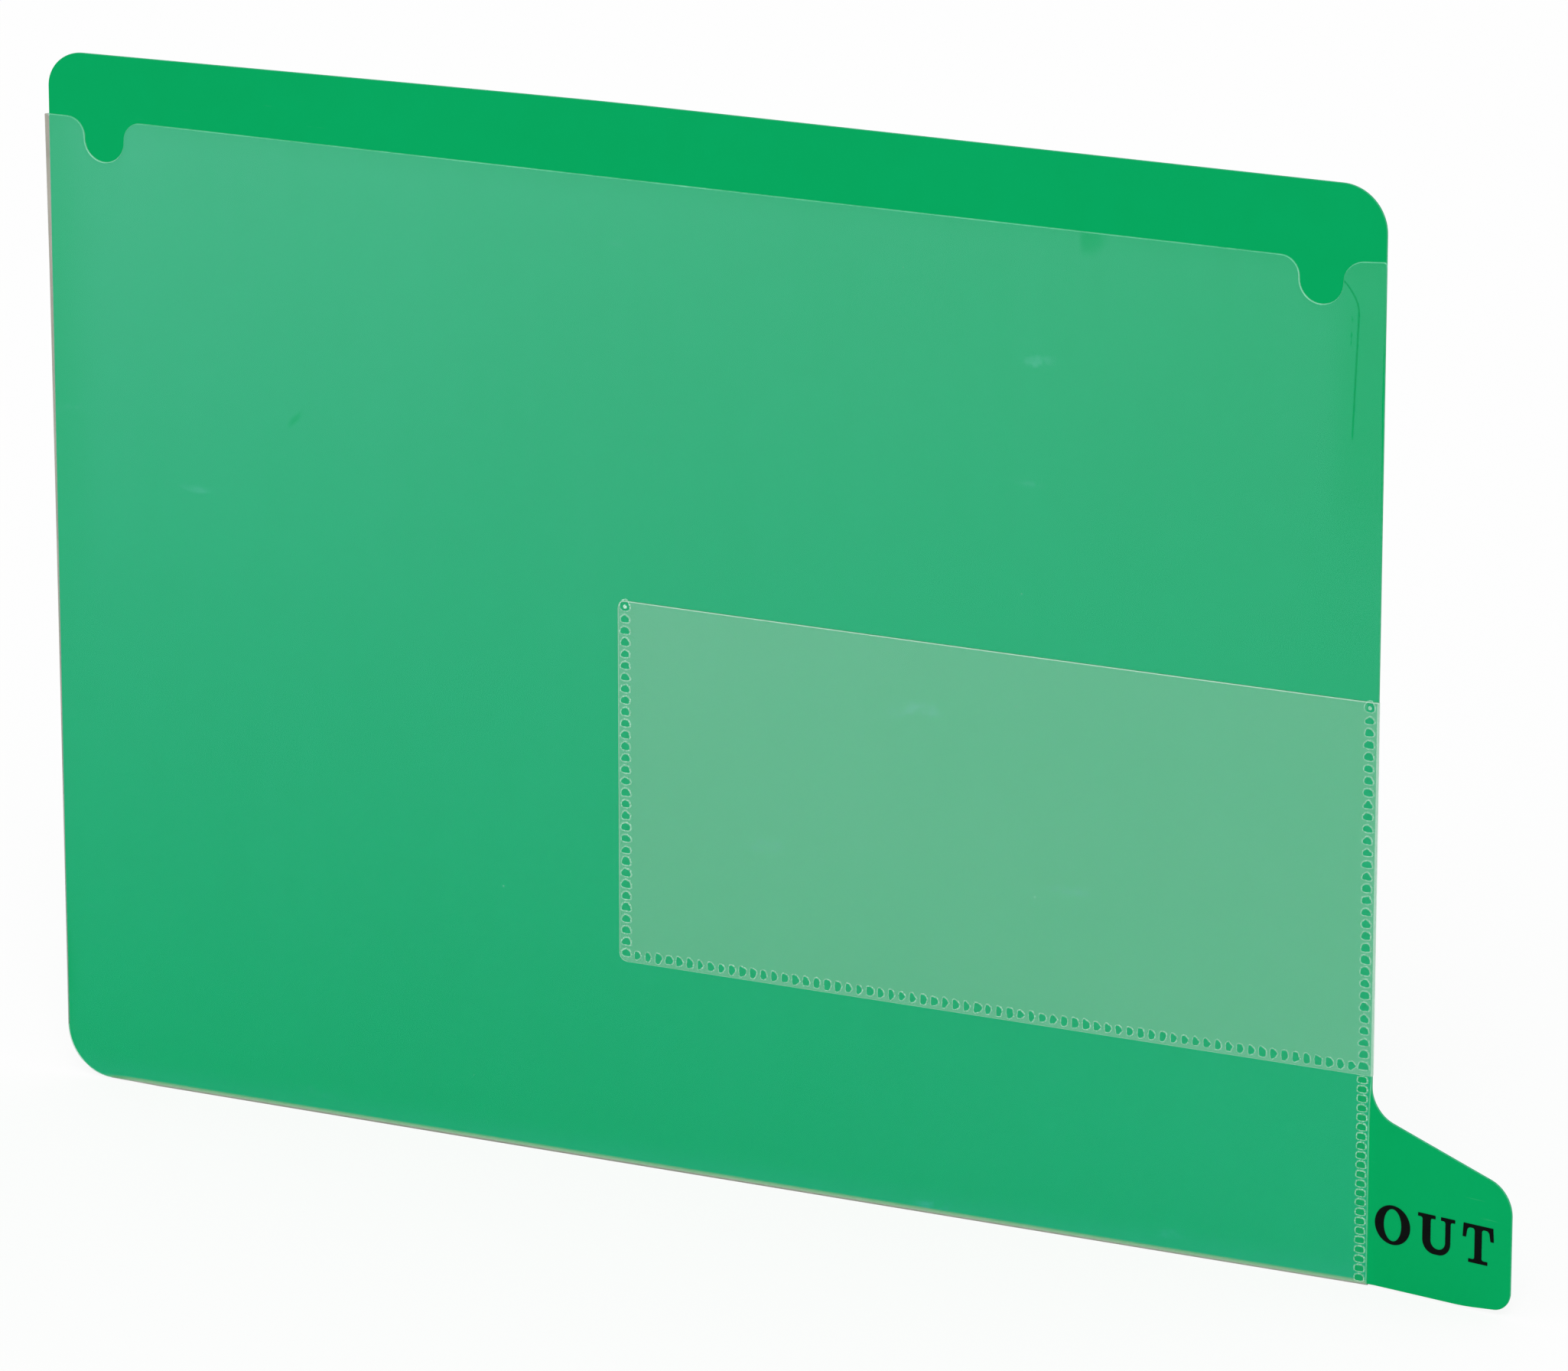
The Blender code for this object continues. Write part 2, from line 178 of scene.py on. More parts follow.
def new_finish(name):
    """New material, its shader node, and the wire of the Object coordinates."""
    finish = bpy.data.materials.new(name)
    finish.use_nodes = True
    shader = finish.node_tree.nodes["Principled BSDF"]
    place = Wire(finish.node_tree.nodes.new("ShaderNodeTexCoord").outputs["Object"])
    return finish, shader, place


def feed(shader, **values):
    """Sets or links the shader's sockets: base_color=... goes to the socket Base Color."""
    for name, value in values.items():
        socket = shader.inputs[name.replace("_", " ").title().replace("Ior", "IOR")]
        if isinstance(value, Wire):
            value.tree.links.new(value.socket, socket)
        else:
            socket.default_value = value


def rounded_corners(corners, radii, points=ARC_POINTS):
    """Arcs that round a closed polygon's corners, as an array of corner, point, and x and z.

    Each arc starts one radius times the tangent of half the turn before its corner. Its centre lies one
    radius square to the incoming side, and its points turn from the incoming to the outgoing direction.
    """
    corners = np.array(corners, float)
    radii = np.array(radii, float)
    sides = corners - np.roll(corners, 1, axis=0)
    heading = np.arctan2(sides[:, 1], sides[:, 0])
    turn = (np.roll(heading, -1) - heading + np.pi) % (2.0 * np.pi) - np.pi
    along = np.stack((np.cos(heading), np.sin(heading)), axis=-1)
    square = np.stack((-np.sin(heading), np.cos(heading)), axis=-1)
    inward = (np.sign(turn) * radii)[:, None]
    centres = corners - along * (radii * np.tan(np.abs(turn) / 2.0))[:, None] + square * inward
    angle = heading[:, None] + turn[:, None] * np.linspace(0.0, 1.0, points)
    return centres[:, None] - inward[..., None] * np.stack((-np.sin(angle), np.cos(angle)), axis=-1)


def outward(line, closed):
    """Unit vectors square to a line in x and z, on its right hand as it runs, from neighbouring points."""
    if closed:
        run = np.roll(line, -1, axis=0) - np.roll(line, 1, axis=0)
    else:
        run = np.gradient(line, axis=0)
    run = run / np.linalg.norm(run, axis=1, keepdims=True)
    return np.stack((run[:, 1], -run[:, 0]), axis=-1)


def bend_tab(points):
    """Turns what lies beyond the body forward: round an arc of even curvature, then straight on."""
    points = np.array(points, float)
    radius = TAB_BEND_LENGTH / TAB_BEND_ANGLE
    past = points[..., 0] - PANEL_RIGHT - TAB_BEND_START
    angle = TAB_BEND_ANGLE * np.clip(past / TAB_BEND_LENGTH, 0.0, 1.0)
    beyond = np.maximum(past - TAB_BEND_LENGTH, 0.0)
    along = radius * np.sin(angle) + beyond * np.cos(TAB_BEND_ANGLE)
    points[..., 0] = np.where(past > 0.0, PANEL_RIGHT + TAB_BEND_START + along, points[..., 0])
    points[..., 1] -= radius * (1.0 - np.cos(angle)) + beyond * np.sin(TAB_BEND_ANGLE)
    return points


def numbered(points, start=0):
    """Vertex numbers of a grid of points, counted row by row from the start."""
    return start + np.arange(points[..., 0].size).reshape(points.shape[:-1])


def quads(index):
    """Corners of the squares of a grid of vertex numbers, whose rows run down and columns to the right."""
    upper, lower = index[..., :-1, :], index[..., 1:, :]
    corners = np.stack((upper[..., :-1], lower[..., :-1], lower[..., 1:], upper[..., 1:]), axis=-1)
    return corners.reshape(-1, 4)


def lapped(index):
    """Grid of vertex numbers with its first column again at its end, so that its rows are closed rings."""
    return np.concatenate((index, index[..., :1]), axis=-1)


def add_piece(name, vertices, faces, finishes, picks, smooth, closed=True):
    """Object of a mesh: picks gives each face its finish, and smooth says which faces are shaded round."""
    mesh = bpy.data.meshes.new(name)
    mesh.from_pydata(np.asarray(vertices).tolist(), [], [list(map(int, face)) for face in faces])
    mesh.polygons.foreach_set("material_index", np.asarray(picks, dtype=np.int32))
    mesh.polygons.foreach_set("use_smooth", np.asarray(smooth, dtype=bool))
    if closed:
        shell = bmesh.new()
        shell.from_mesh(mesh)
        bmesh.ops.recalc_face_normals(shell, faces=shell.faces)
        shell.to_mesh(mesh)
        shell.free()
    mesh.update()
    for finish in finishes:
        mesh.materials.append(finish)
    piece = bpy.data.objects.new(name, mesh)
    bpy.context.scene.collection.objects.link(piece)
    return piece


def panel_outline():
    """The sheet's outline while flat, anticlockwise from its lower left corner.

    The concave arc at the tab's root has a point over each of the bottom edge's points beside the body,
    so that the faces can be split along upright lines there. The top edge falls a little on the left:
    by a slope times the run beyond its break, eased in over the first centimetres.
    """
    tip = PANEL_RIGHT + TAB_LENGTH
    corners = [
        (PANEL_LEFT, PANEL_FLOOR), (tip - TAB_FOOT_RUN, PANEL_FLOOR), (tip, PANEL_FLOOR + TAB_FOOT_RISE),
        (tip, PANEL_FLOOR + TAB_TIP_HEIGHT),
        (PANEL_RIGHT, PANEL_FLOOR + TAB_ROOT_HEIGHT), (PANEL_RIGHT, PANEL_TOP), (PANEL_LEFT, PANEL_TOP),
    ]
    radii = (FOOT_CORNER, TAB_FOOT_SWEEP, TAB_FOOT_RADIUS, TAB_TIP_RADIUS, TAB_ROOT_RADIUS,
             TOP_RIGHT_CORNER, TOP_LEFT_CORNER)
    foot, tab_sweep, tab_foot, tab_tip, tab_root, top_right, top_left = rounded_corners(corners, radii)
    beside_body = tab_root[::-1].copy()
    beside_body[:, 1] = PANEL_FLOOR
    top_edge = np.linspace(top_right[-1], top_left[0], ARC_POINTS + 2)[1:-1]
    outline = np.concatenate((foot, beside_body, tab_sweep, tab_foot, tab_tip, tab_root,
                              top_right, top_edge, top_left))
    run = np.clip(TOP_EDGE_BREAK - outline[:, 0], 0.0, None)
    fall = TOP_EDGE_FALL * run ** 2 / (run + TOP_EDGE_EASE)
    outline[:, 1] -= fall * np.clip((outline[:, 1] - PANEL_TOP) / TOP_EDGE_BAND + 1.0, 0.0, 1.0)
    return outline


def sheet_rim(outline):
    """Rings of points from the sheet's front to its back, over the half ellipse of its rim."""
    turn = np.linspace(-np.pi / 2.0, np.pi / 2.0, RIM_RINGS)[:, None]
    inset = PANEL_RIM * (1.0 - np.cos(turn))
    moved = outline - outward(outline, closed=True) * inset[..., None]
    depth = np.broadcast_to(PANEL_THICKNESS / 2.0 * np.sin(turn), moved.shape[:2])
    return np.stack((moved[..., 0], depth, moved[..., 1]), axis=-1)


panel_finish, shader, place = new_finish("green_polypropylene")
clouds = place.noise(9.0, 3.0)
mottle = place.noise(140.0, 4.0)
grain = place.noise(2600.0, 2.0)
scratches = place.noise(70.0, 3.0, (1.0, 1.0, 28.0)).fade(0.70, 0.78) * mottle.fade(0.42, 0.62)
dust = place.specks(85.0, 0.00028)
green = (clouds * 0.6 + mottle * 0.4).mix(colour(0, 158, 86), colour(0, 167, 97))
green = (scratches * 0.16).mix(green, colour(92, 196, 150))
green = (dust * 0.45).mix(green, colour(150, 214, 184))
relief = (grain + scratches * 2.0).bump(0.12, 0.00002)
feed(shader, base_color=green, roughness=0.4 + 0.12 * mottle - 0.06 * scratches, normal=relief)
feed(shader, specular_ior_level=0.03)

rim_finish, shader, place = new_finish("green_cut_edge")
streaks = place.noise(900.0, 3.0, (1.0, 0.12, 1.0))
pale = streaks.mix(colour(10, 158, 96), colour(88, 182, 142))
feed(shader, base_color=pale, roughness=0.5 + 0.2 * streaks, specular_ior_level=0.05)

rings = sheet_rim(panel_outline())
numbers = numbered(rings)
rim_faces = quads(lapped(numbers))
foot_points = np.arange(ARC_POINTS, 2 * ARC_POINTS)
root_points = np.arange(5 * ARC_POINTS, 6 * ARC_POINTS)[::-1]
body_face = np.concatenate((np.arange(ARC_POINTS + 1), np.arange(root_points[0], rings.shape[1])))
tab_face = np.arange(foot_points[-1], root_points[-1] + 1)
bend_faces = quads(np.stack((root_points, foot_points)))
flat_faces = [body_face, tab_face, *bend_faces]
panel_faces = [*rim_faces, *flat_faces, *[face + numbers[-1, 0] for face in flat_faces]]
on_rim = np.arange(len(panel_faces)) < len(rim_faces)
panel_points = bend_tab(rings.reshape(-1, 3))
panel = add_piece("panel_sheet", panel_points, panel_faces, [panel_finish, rim_finish], on_rim, on_rim)
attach(panel, "panel")
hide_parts("guide_panel")


# Letter pocket: one clear, slightly milky film over the body below a bare green strip. It is folded round
# the sheet's left and bottom edges onto the back, and its top edge has two U-shaped relief notches.
# Top and upper right edges are free, so that corner can lift; here it lies down. The folds are stressed
# grey.
flap_low, flap_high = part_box("letter_pocket_flap")
FILM_TOP = flap_high.z
FILM_RIGHT = flap_high.x
FILM_DEPTH = (flap_low.y + flap_high.y) / 2.0
FILM_THICKNESS = 0.0002
FILM_EDGE_THICKNESS = 0.00042
FILM_EDGE_CURL = 0.0002
FILM_EDGE_STRIP = 0.00035
FILM_BEAD_TOP = 0.046
FILM_CORNER_RADIUS = 0.0005
FILM_GRID = 0.005
FILM_LEVELS = 45
SAME_POINT = 1e-7
FOLD_INSET = 0.0002
FOLD_LEFT = PANEL_LEFT + FOLD_INSET
FOLD_FLOOR = PANEL_FLOOR + FOLD_INSET
FOLD_CORNER = FOOT_CORNER - FOLD_INSET
FOLD_CORNER_LEVELS = 7
FOLD_STEPS = 9
HEM_STEPS = 3
HEM_WIDTH = 0.005
HEM_TOP_SLANT = 0.0018
HEM_END = 0.012
NOTCH_INSET = 0.0145
NOTCH_WIDTH = 0.0101
NOTCH_DEPTH = 0.0097
NOTCH_MOUTH_RADIUS = 0.0043
NOTCH_ARC_POINTS = 11
NOTCH_LEFT = PANEL_LEFT + NOTCH_INSET
NOTCH_RIGHT = PANEL_RIGHT - NOTCH_INSET
TONGUE_SLOPE = 0.077
LEFT_BORDER = 0.03
RIGHT_BORDER = 0.012
FOOT_HAZE = 0.0335
FOOT_HAZE_RIGHTWARD = 0.016
FOOT_HAZE_HEIGHT = 0.008
TOP_SHEEN_AND_HAZE = 0.061
TOP_SHEEN_AND_HAZE_CURVE = 0.022
CLING_X, CLING_Z = 0.0932, 0.2248
CLING_RADIUS = 0.0056
CLING_CORE = 0.001
CLING_START = CLING_X - 0.002, CLING_X - 0.0006
DENT_X, DENT_Z = -0.0998, 0.162
DENT_SLOPE = 0.9
DENT_WIDTH = 0.0015, 0.0002
DENT_REACH = 0.0026, 0.0004
CREASE_X = 0.14748
CREASE_GAP = 0.00148
CREASE_LEAN = 0.04
CREASE_CURVE = 75.0
CREASE_CURVE_FOOT = 0.214
CREASE_WIDTH = 0.00028, 0.00006
CREASE_FOOT = 0.184, 0.196
CREASE_HEAD = 0.2225, 0.2205
SECOND_CREASE_WIDTH = 0.00028, 0.0001
SECOND_CREASE_FOOT = 0.206, 0.209
SECOND_CREASE_HEAD = 0.218, 0.215
FOOT_SHINE_HEIGHT = 0.0011
FOOT_SHINE_START = -0.156, -0.14
LYING_LEFT = -0.148, -0.161
LYING_LEFT_RISE = 0.07, 0.17
LYING_RIGHT = 0.147, 0.1565
LYING_RIGHT_RISE = 0.15, 0.19
DULL_SIDE = FILM_RIGHT - 0.0008, FILM_RIGHT - 0.0005
DULL_FOOT = 0.045, 0.055
DULL_HEAD = FILM_TOP, FILM_TOP - 0.001
GLINT_HEAD = FILM_TOP - 0.0008, FILM_TOP - 0.004
GLINT_FOOT = FILM_TOP - 0.013, FILM_TOP - 0.011
GLINT_RIGHT = NOTCH_RIGHT + 0.0045, NOTCH_RIGHT - 0.001
FOLD_UNDERSIDE_SHADE = 0.0009, 0.0004


def film_top_edge():
    """The film's top edge from its left fold to the end of its right corner, with both notches.

    The corners of the notches are rounded by arcs. Straight stretches get points one grid step apart,
    none of them closer than 0.4 steps to a point of an arc. The length run so far comes along. The last two
    corners, at the foot, only close the polygon.
    """
    half = NOTCH_WIDTH / 2.0
    floor = FILM_TOP - NOTCH_DEPTH
    corners = [(FOLD_LEFT, FILM_TOP)]
    radii = [0.0]
    for middle in (NOTCH_LEFT, NOTCH_RIGHT):
        left, right = middle - half, middle + half
        corners += [(left, FILM_TOP), (left, floor), (right, floor), (right, FILM_TOP)]
        radii += [NOTCH_MOUTH_RADIUS, half, half, NOTCH_MOUTH_RADIUS]
    corners += [(FILM_RIGHT, FILM_TOP), (FILM_RIGHT, FOLD_FLOOR), (FOLD_LEFT, FOLD_FLOOR)]
    radii += [FILM_CORNER_RADIUS, 0.0, 0.0]
    arcs = rounded_corners(corners, radii, NOTCH_ARC_POINTS)
    line = np.concatenate((arcs[0, :1], *arcs[1:-2]))
    steps = np.linalg.norm(np.diff(line, axis=0), axis=1)
    line = line[np.concatenate(([True], steps > SAME_POINT))]
    run = np.concatenate(([0.0], np.cumsum(np.linalg.norm(np.diff(line, axis=0), axis=1))))
    extra = np.arange(0.0, run[-1], FILM_GRID)
    extra = extra[np.abs(extra[:, None] - run).min(axis=1) > 0.4 * FILM_GRID]
    places = np.sort(np.concatenate((run, extra)))
    spots = np.stack((np.interp(places, run, line[:, 0]), np.interp(places, run, line[:, 1])), axis=-1)
    return spots, places


def film_overreach(z):
    """How far the film's free right edge reaches past its cut size: it wanders, by under a millimetre."""
    return np.interp(z, (0.04, 0.05, 0.165, 0.196, 0.2253), (0.0004, 0.0008, 0.0007, 0.0003, 0.0009))


def left_fold_reach(z):
    """How far the left fold stands out past the film's front: least at the foot, most at the open top."""
    return np.interp(z, (0.03, 0.06, 0.12, 0.19, FILM_TOP), (0.00008, 0.0003, 0.00055, 0.0009, 0.0013))


def bottom_fold_reach(x):
    """How far the bottom fold hangs below the film's front: least at its left end, most a third along."""
    places = (-0.15, -0.138, -0.06, 0.08, PANEL_RIGHT)
    return np.interp(x, places, (0.00006, 0.0004, 0.00048, 0.0004, 0.0003))


def film_front():
    """The film's front as a grid of points in x and z, rows from the top edge down.

    Each column is a straight line from a point of the top edge to the point below it on the bottom edge,
    which runs out into the lower left corner's arc. The short tongue beside the right notch rises a little.
    What the left and right borders depart from their columns is added, and fades out inward. The first row
    and the last column are the cut edge itself.
    """
    top, run = film_top_edge()
    near_left = (1.0 - np.clip(run / LEFT_BORDER, 0.0, 1.0)) ** 2
    near_right = (1.0 - np.clip((run[-1] - run) / RIGHT_BORDER, 0.0, 1.0)) ** 2
    top[:, 0] += near_right * film_overreach(FILM_TOP)
    top[:, 1] += TONGUE_SLOPE * np.clip(top[:, 0] - (NOTCH_RIGHT + NOTCH_WIDTH / 2.0), 0.0, None)
    inner = top + outward(top, closed=False) * FILM_EDGE_STRIP
    inner[0] = top[0] - (0.0, FILM_EDGE_STRIP)
    centre_x, centre_z = FOLD_LEFT + FOLD_CORNER, FOLD_FLOOR + FOLD_CORNER
    deepest = [np.argmin(np.hypot(top[:, 0] - x, top[:, 1] - FILM_TOP + NOTCH_DEPTH))
               for x in (NOTCH_LEFT, NOTCH_RIGHT)]
    anchors = np.array((0, *deepest, len(run) - 1))
    feet = np.array((centre_x - np.sqrt(0.5) * FOLD_CORNER, *top[deepest, 0], FILM_RIGHT - FILM_EDGE_STRIP))
    foot_x = np.interp(run, run[anchors], feet)
    lean = np.clip(centre_x - foot_x, 0.0, None)
    bottom = np.stack((foot_x, centre_z - np.sqrt(FOLD_CORNER ** 2 - lean ** 2)), axis=-1)

    turn = np.linspace(0.0, np.pi / 4.0, FOLD_CORNER_LEVELS)
    upper_levels = np.linspace(inner[0, 1], centre_z, FILM_LEVELS)[:-1]
    levels = np.concatenate((upper_levels, centre_z - FOLD_CORNER * np.sin(turn)))
    share = ((inner[0, 1] - levels) / (inner[0, 1] - levels[-1]))[:, None, None]
    ruled = (1.0 - share) * inner + share * bottom
    drop = np.clip(centre_z - levels, 0.0, None)
    left = np.stack((centre_x - np.sqrt(FOLD_CORNER ** 2 - drop ** 2), levels), axis=-1)
    beyond = film_overreach(ruled[:, -1, 1]) - (1.0 - share[:, 0, 0]) * film_overreach(FILM_TOP)
    right = np.stack((beyond, np.zeros(len(levels))), axis=-1)
    left_part = near_left[:, None] * (left - ruled[:, 0])[:, None]
    grid = ruled + left_part + near_right[:, None] * right[:, None]
    cut_right = grid[:, -1:] + (FILM_EDGE_STRIP, 0.0)
    cut_right[0, 0] = top[-1]
    whole = np.concatenate((grid, cut_right), axis=1)
    return np.concatenate((np.concatenate((top, top[-1:]))[None], whole))


def fold_path():
    """Half a turn round the sheet's edge and the flat hem behind it, as shares of reach, depth and hem."""
    turn = np.linspace(0.0, np.pi, FOLD_STEPS)
    out = np.concatenate((np.sin(turn), np.zeros(HEM_STEPS)))
    depth = np.concatenate((-np.cos(turn), np.ones(HEM_STEPS)))
    hem = np.concatenate((np.zeros(FOLD_STEPS), np.linspace(0.0, 1.0, HEM_STEPS + 1)[1:]))
    return out[1:], depth[1:], hem[1:]


def near_end(distance):
    """Share that falls evenly from 1 at a hem's end to 0 at HEM_END from it."""
    return np.clip(1.0 - distance / HEM_END, 0.0, 1.0)


def pass_light(piece):
    """Clear pieces let the light through: they throw no shadow, and light that bounces doesn't see them."""
    piece.visible_shadow = False
    piece.visible_diffuse = False


def make_film(piece, edge_weights, edge_thickness):
    """Makes clear film of a sheet of faces, swelling to the edge's thickness where the weight is 1."""
    cut_edge = piece.vertex_groups.new(name="cut_edge")
    for weight in np.unique(edge_weights):
        cut_edge.add(np.flatnonzero(edge_weights == weight).tolist(), float(weight), "REPLACE")
    wall = piece.modifiers.new("film_thickness", "SOLIDIFY")
    wall.thickness = edge_thickness
    wall.offset = 0.0
    wall.vertex_group = "cut_edge"
    wall.thickness_vertex_group = FILM_THICKNESS / edge_thickness
    wall.material_offset_rim = 1
    pass_light(piece)


# The film is hazier and paler towards its top, partly haze and partly a painted sheen, and clearer where it
# lies on the sheet: beside its fold and its free corner, in a patch that clings under the top edge, and in a
# short slanted dent. The bounds of a mask are named as a pair: where it is nought and where it is full.
film_finish, shader, place = new_finish("clear_milky_film")
x, z = place.axis("X"), place.axis("Z")
rise = z * (1.0 / FILM_TOP)
across = (x - PANEL_LEFT) * (0.5 / PANEL_RIGHT)
# The gradient up the film is partly haze and partly painted sheen.
top_sheen_and_haze = TOP_SHEEN_AND_HAZE - TOP_SHEEN_AND_HAZE * across + TOP_SHEEN_AND_HAZE_CURVE * rise
haze_and_sheen = FOOT_HAZE + FOOT_HAZE_RIGHTWARD * across + rise * top_sheen_and_haze
haze_and_sheen = haze_and_sheen + 0.02 * z.fade(FOOT_HAZE_HEIGHT, 0.0)
# Painted highlight just above the bottom fold: the film turns paler and denser there.
shine = z.fade(FOLD_FLOOR + FOOT_SHINE_HEIGHT, FOLD_FLOOR) * x.fade(*FOOT_SHINE_START)
lying = x.fade(*LYING_LEFT) * z.fade(*LYING_LEFT_RISE)
lying = lying + 1.3 * x.fade(*LYING_RIGHT) * z.fade(*LYING_RIGHT_RISE)
aside, below = x - CLING_X, z - CLING_Z
cling = (aside * aside + below * below).fade(CLING_RADIUS ** 2, CLING_CORE ** 2)
cling = cling * x.fade(*CLING_START)
aside, below = x - DENT_X, z - DENT_Z
dent = abs(below - DENT_SLOPE * aside).fade(*DENT_WIDTH) * abs(aside).fade(*DENT_REACH)
lying = lying + 2.2 * cling + 1.8 * dent
drift = place.noise(26.0, 3.0, (1.0, 1.0, 0.55))
streaks = place.noise(210.0, 3.0, (1.0, 1.0, 0.05))
fibres = place.noise(520.0, 3.0)
haze_and_sheen = haze_and_sheen * (0.89 + 0.12 * drift + 0.10 * streaks) * (1.0 - 0.2 * lying)

# Creases: one runs down beside the right notch, curved at its head, and a short broken one lies on its left.
# Both are drawn as painted shade, a dark green and denser line in the film.
sag = (z - CREASE_CURVE_FOOT).above(0.0)
aside = x - (z * CREASE_LEAN + CREASE_X)
crease_shade = abs(aside + CREASE_CURVE * sag * sag).fade(*CREASE_WIDTH)
crease_shade = crease_shade * z.fade(*CREASE_FOOT) * z.fade(*CREASE_HEAD)
second = abs(aside + CREASE_GAP).fade(*SECOND_CREASE_WIDTH)
second = second * z.fade(*SECOND_CREASE_FOOT) * z.fade(*SECOND_CREASE_HEAD)
crease_shade = crease_shade.above(0.35 * second * fibres.fade(0.4, 0.6))
scuffs = place.noise(110.0, 2.0, (0.25, 1.0, 1.0)).fade(0.70, 0.80) * fibres.fade(0.4, 0.65)
dust = place.specks(75.0, 0.0004)
# Cyan low down, paler and more neutral higher up: partly haze, partly painted sheen.
milk = rise.mix((0.14, 0.60, 0.84, 1.0), (0.29, 0.76, 0.74, 1.0))
milk = dust.mix(milk, (0.72, 0.88, 0.80, 1.0))
# Painted shade: the creases darken the film to a deep green.
milk = crease_shade.fade(0.0, 0.25).mix(milk, (0.0, 0.32, 0.11, 1.0))
milk = shine.fade(0.0, 0.3).mix(milk, colour(190, 196, 182))
cover = haze_and_sheen + 0.06 * scuffs + 0.2 * dust + 0.2 * crease_shade + 0.3 * shine
feed(shader, base_color=milk, alpha=cover, normal=drift.bump(0.2, 0.0006))
feed(shader, roughness=0.22 + 0.2 * fibres + 0.2 * scuffs)

# The cut edge is pale. It has a painted glint in the notches, fading out across the right one, and is dull
# along the free right side.
cut_finish, shader, place = new_finish("film_cut_edge")
x, z = place.axis("X"), place.axis("Z")
dull = x.fade(*DULL_SIDE) * z.fade(*DULL_FOOT) * z.fade(*DULL_HEAD)
nicks = place.noise(420.0, 3.0)
shine = place.noise(60.0, 1.0).fade(0.35, 0.65)
painted_glint = z.fade(*GLINT_HEAD) * z.fade(*GLINT_FOOT) * x.fade(*GLINT_RIGHT)
pale = nicks.mix(colour(78, 205, 150), colour(140, 227, 188))
pale = (0.6 * painted_glint).mix(pale, colour(176, 238, 210))
cover = (0.35 + 0.3 * nicks + 0.3 * shine + 0.1 * painted_glint) * (1.0 - 0.85 * dull)
feed(shader, base_color=pale, alpha=cover, roughness=0.3)

fold_finish, shader, place = new_finish("stressed_film_fold")
crazing = place.noise(320.0, 4.0, (1.0, 1.0, 0.35))
stress_and_shade = crazing.mix(colour(140, 138, 126), colour(186, 180, 168))
# Painted shade: the bottom fold is darker on its underside.
stress_and_shade = place.axis("Z").fade(*FOLD_UNDERSIDE_SHADE).mix(stress_and_shade, colour(122, 126, 112))
feed(shader, base_color=stress_and_shade, alpha=0.6 + 0.3 * crazing, roughness=0.35 + 0.2 * crazing)

# The top edge is a thick cut edge that curls forward, and so is the right edge beside the lower weld.
# The first two points of the last column are one with the end of the top edge.
front = film_front()
free_edge = np.zeros(front.shape[:2])
free_edge[0, :-3] = 1.0
free_edge[front[:, -1, 1] < FILM_BEAD_TOP, -1] = 1.0
film_points = np.stack((front[..., 0], FILM_DEPTH - FILM_EDGE_CURL * free_edge, front[..., 1]), axis=-1)
film_numbers = numbered(film_points)
film_numbers[:2, -1] = film_numbers[0, -2]

# Each fold starts on the front's border and ends in a hem. The hems' ends are cut slanting, so that they
# stay clear of each other in the corner.
out, depth, hem = fold_path()
folded_rows = np.flatnonzero(front[:, 0, 1] > FOLD_FLOOR + FOLD_CORNER - SAME_POINT)
level = front[folded_rows, 0, 1][:, None]
slant = HEM_TOP_SLANT * (depth + 1.0 + 2.0 * hem) / 4.0 * near_end(FILM_TOP - level)
mitre = HEM_WIDTH * hem * near_end(level - FOLD_FLOOR - FOLD_CORNER)
inward = HEM_WIDTH * hem - left_fold_reach(level) * out
left_fold = np.broadcast_arrays(FOLD_LEFT + inward, -FILM_DEPTH * depth, level - slant + mitre)
left_fold = np.stack(left_fold, axis=-1)[:, ::-1]
left_numbers = numbered(left_fold, film_numbers.size)

out, depth, hem = out[:, None], depth[:, None], hem[:, None]
folded_columns = np.flatnonzero(front[-1, :, 0] > FOLD_LEFT + FOLD_CORNER - SAME_POINT)
along = front[-1, folded_columns, 0][None]
mitre = HEM_WIDTH * hem * near_end(along - FOLD_LEFT - FOLD_CORNER)
upward = HEM_WIDTH * hem - bottom_fold_reach(along) * out
bottom_fold = np.broadcast_arrays(along + mitre, -FILM_DEPTH * depth, FOLD_FLOOR + upward)
bottom_fold = np.stack(bottom_fold, axis=-1)
bottom_numbers = numbered(bottom_fold, film_numbers.size + left_numbers.size)

front_faces = quads(film_numbers)
front_faces = front_faces[np.diff(np.sort(front_faces, axis=1), axis=1).all(axis=1)]
left_faces = quads(np.concatenate((left_numbers, film_numbers[folded_rows, :1]), axis=1))
bottom_faces = quads(np.concatenate((film_numbers[-1:, folded_columns], bottom_numbers)))
film_faces = np.concatenate((front_faces, left_faces, bottom_faces))
film_points = np.concatenate([points.reshape(-1, 3) for points in (film_points, left_fold, bottom_fold)])
edge_weights = np.zeros(len(film_points))
edge_weights[:free_edge.size] = free_edge.ravel()
used, film_faces = np.unique(film_faces, return_inverse=True)
film_faces = film_faces.reshape(-1, 4)
in_fold = np.abs(film_points[used][film_faces][..., 1]).min(axis=1) < -FILM_DEPTH - 0.05 * FILM_THICKNESS
film_finishes = [film_finish, cut_finish, fold_finish]
film = add_piece("letter_pocket", film_points[used], film_faces, film_finishes, 2 * in_fold,
                 np.ones(len(film_faces)), closed=False)
make_film(film, edge_weights[used], FILM_EDGE_THICKNESS)
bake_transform(film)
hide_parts("letter_pocket_film", "letter_pocket_hem_left",
            "letter_pocket_hem_bottom", "letter_pocket_flap")


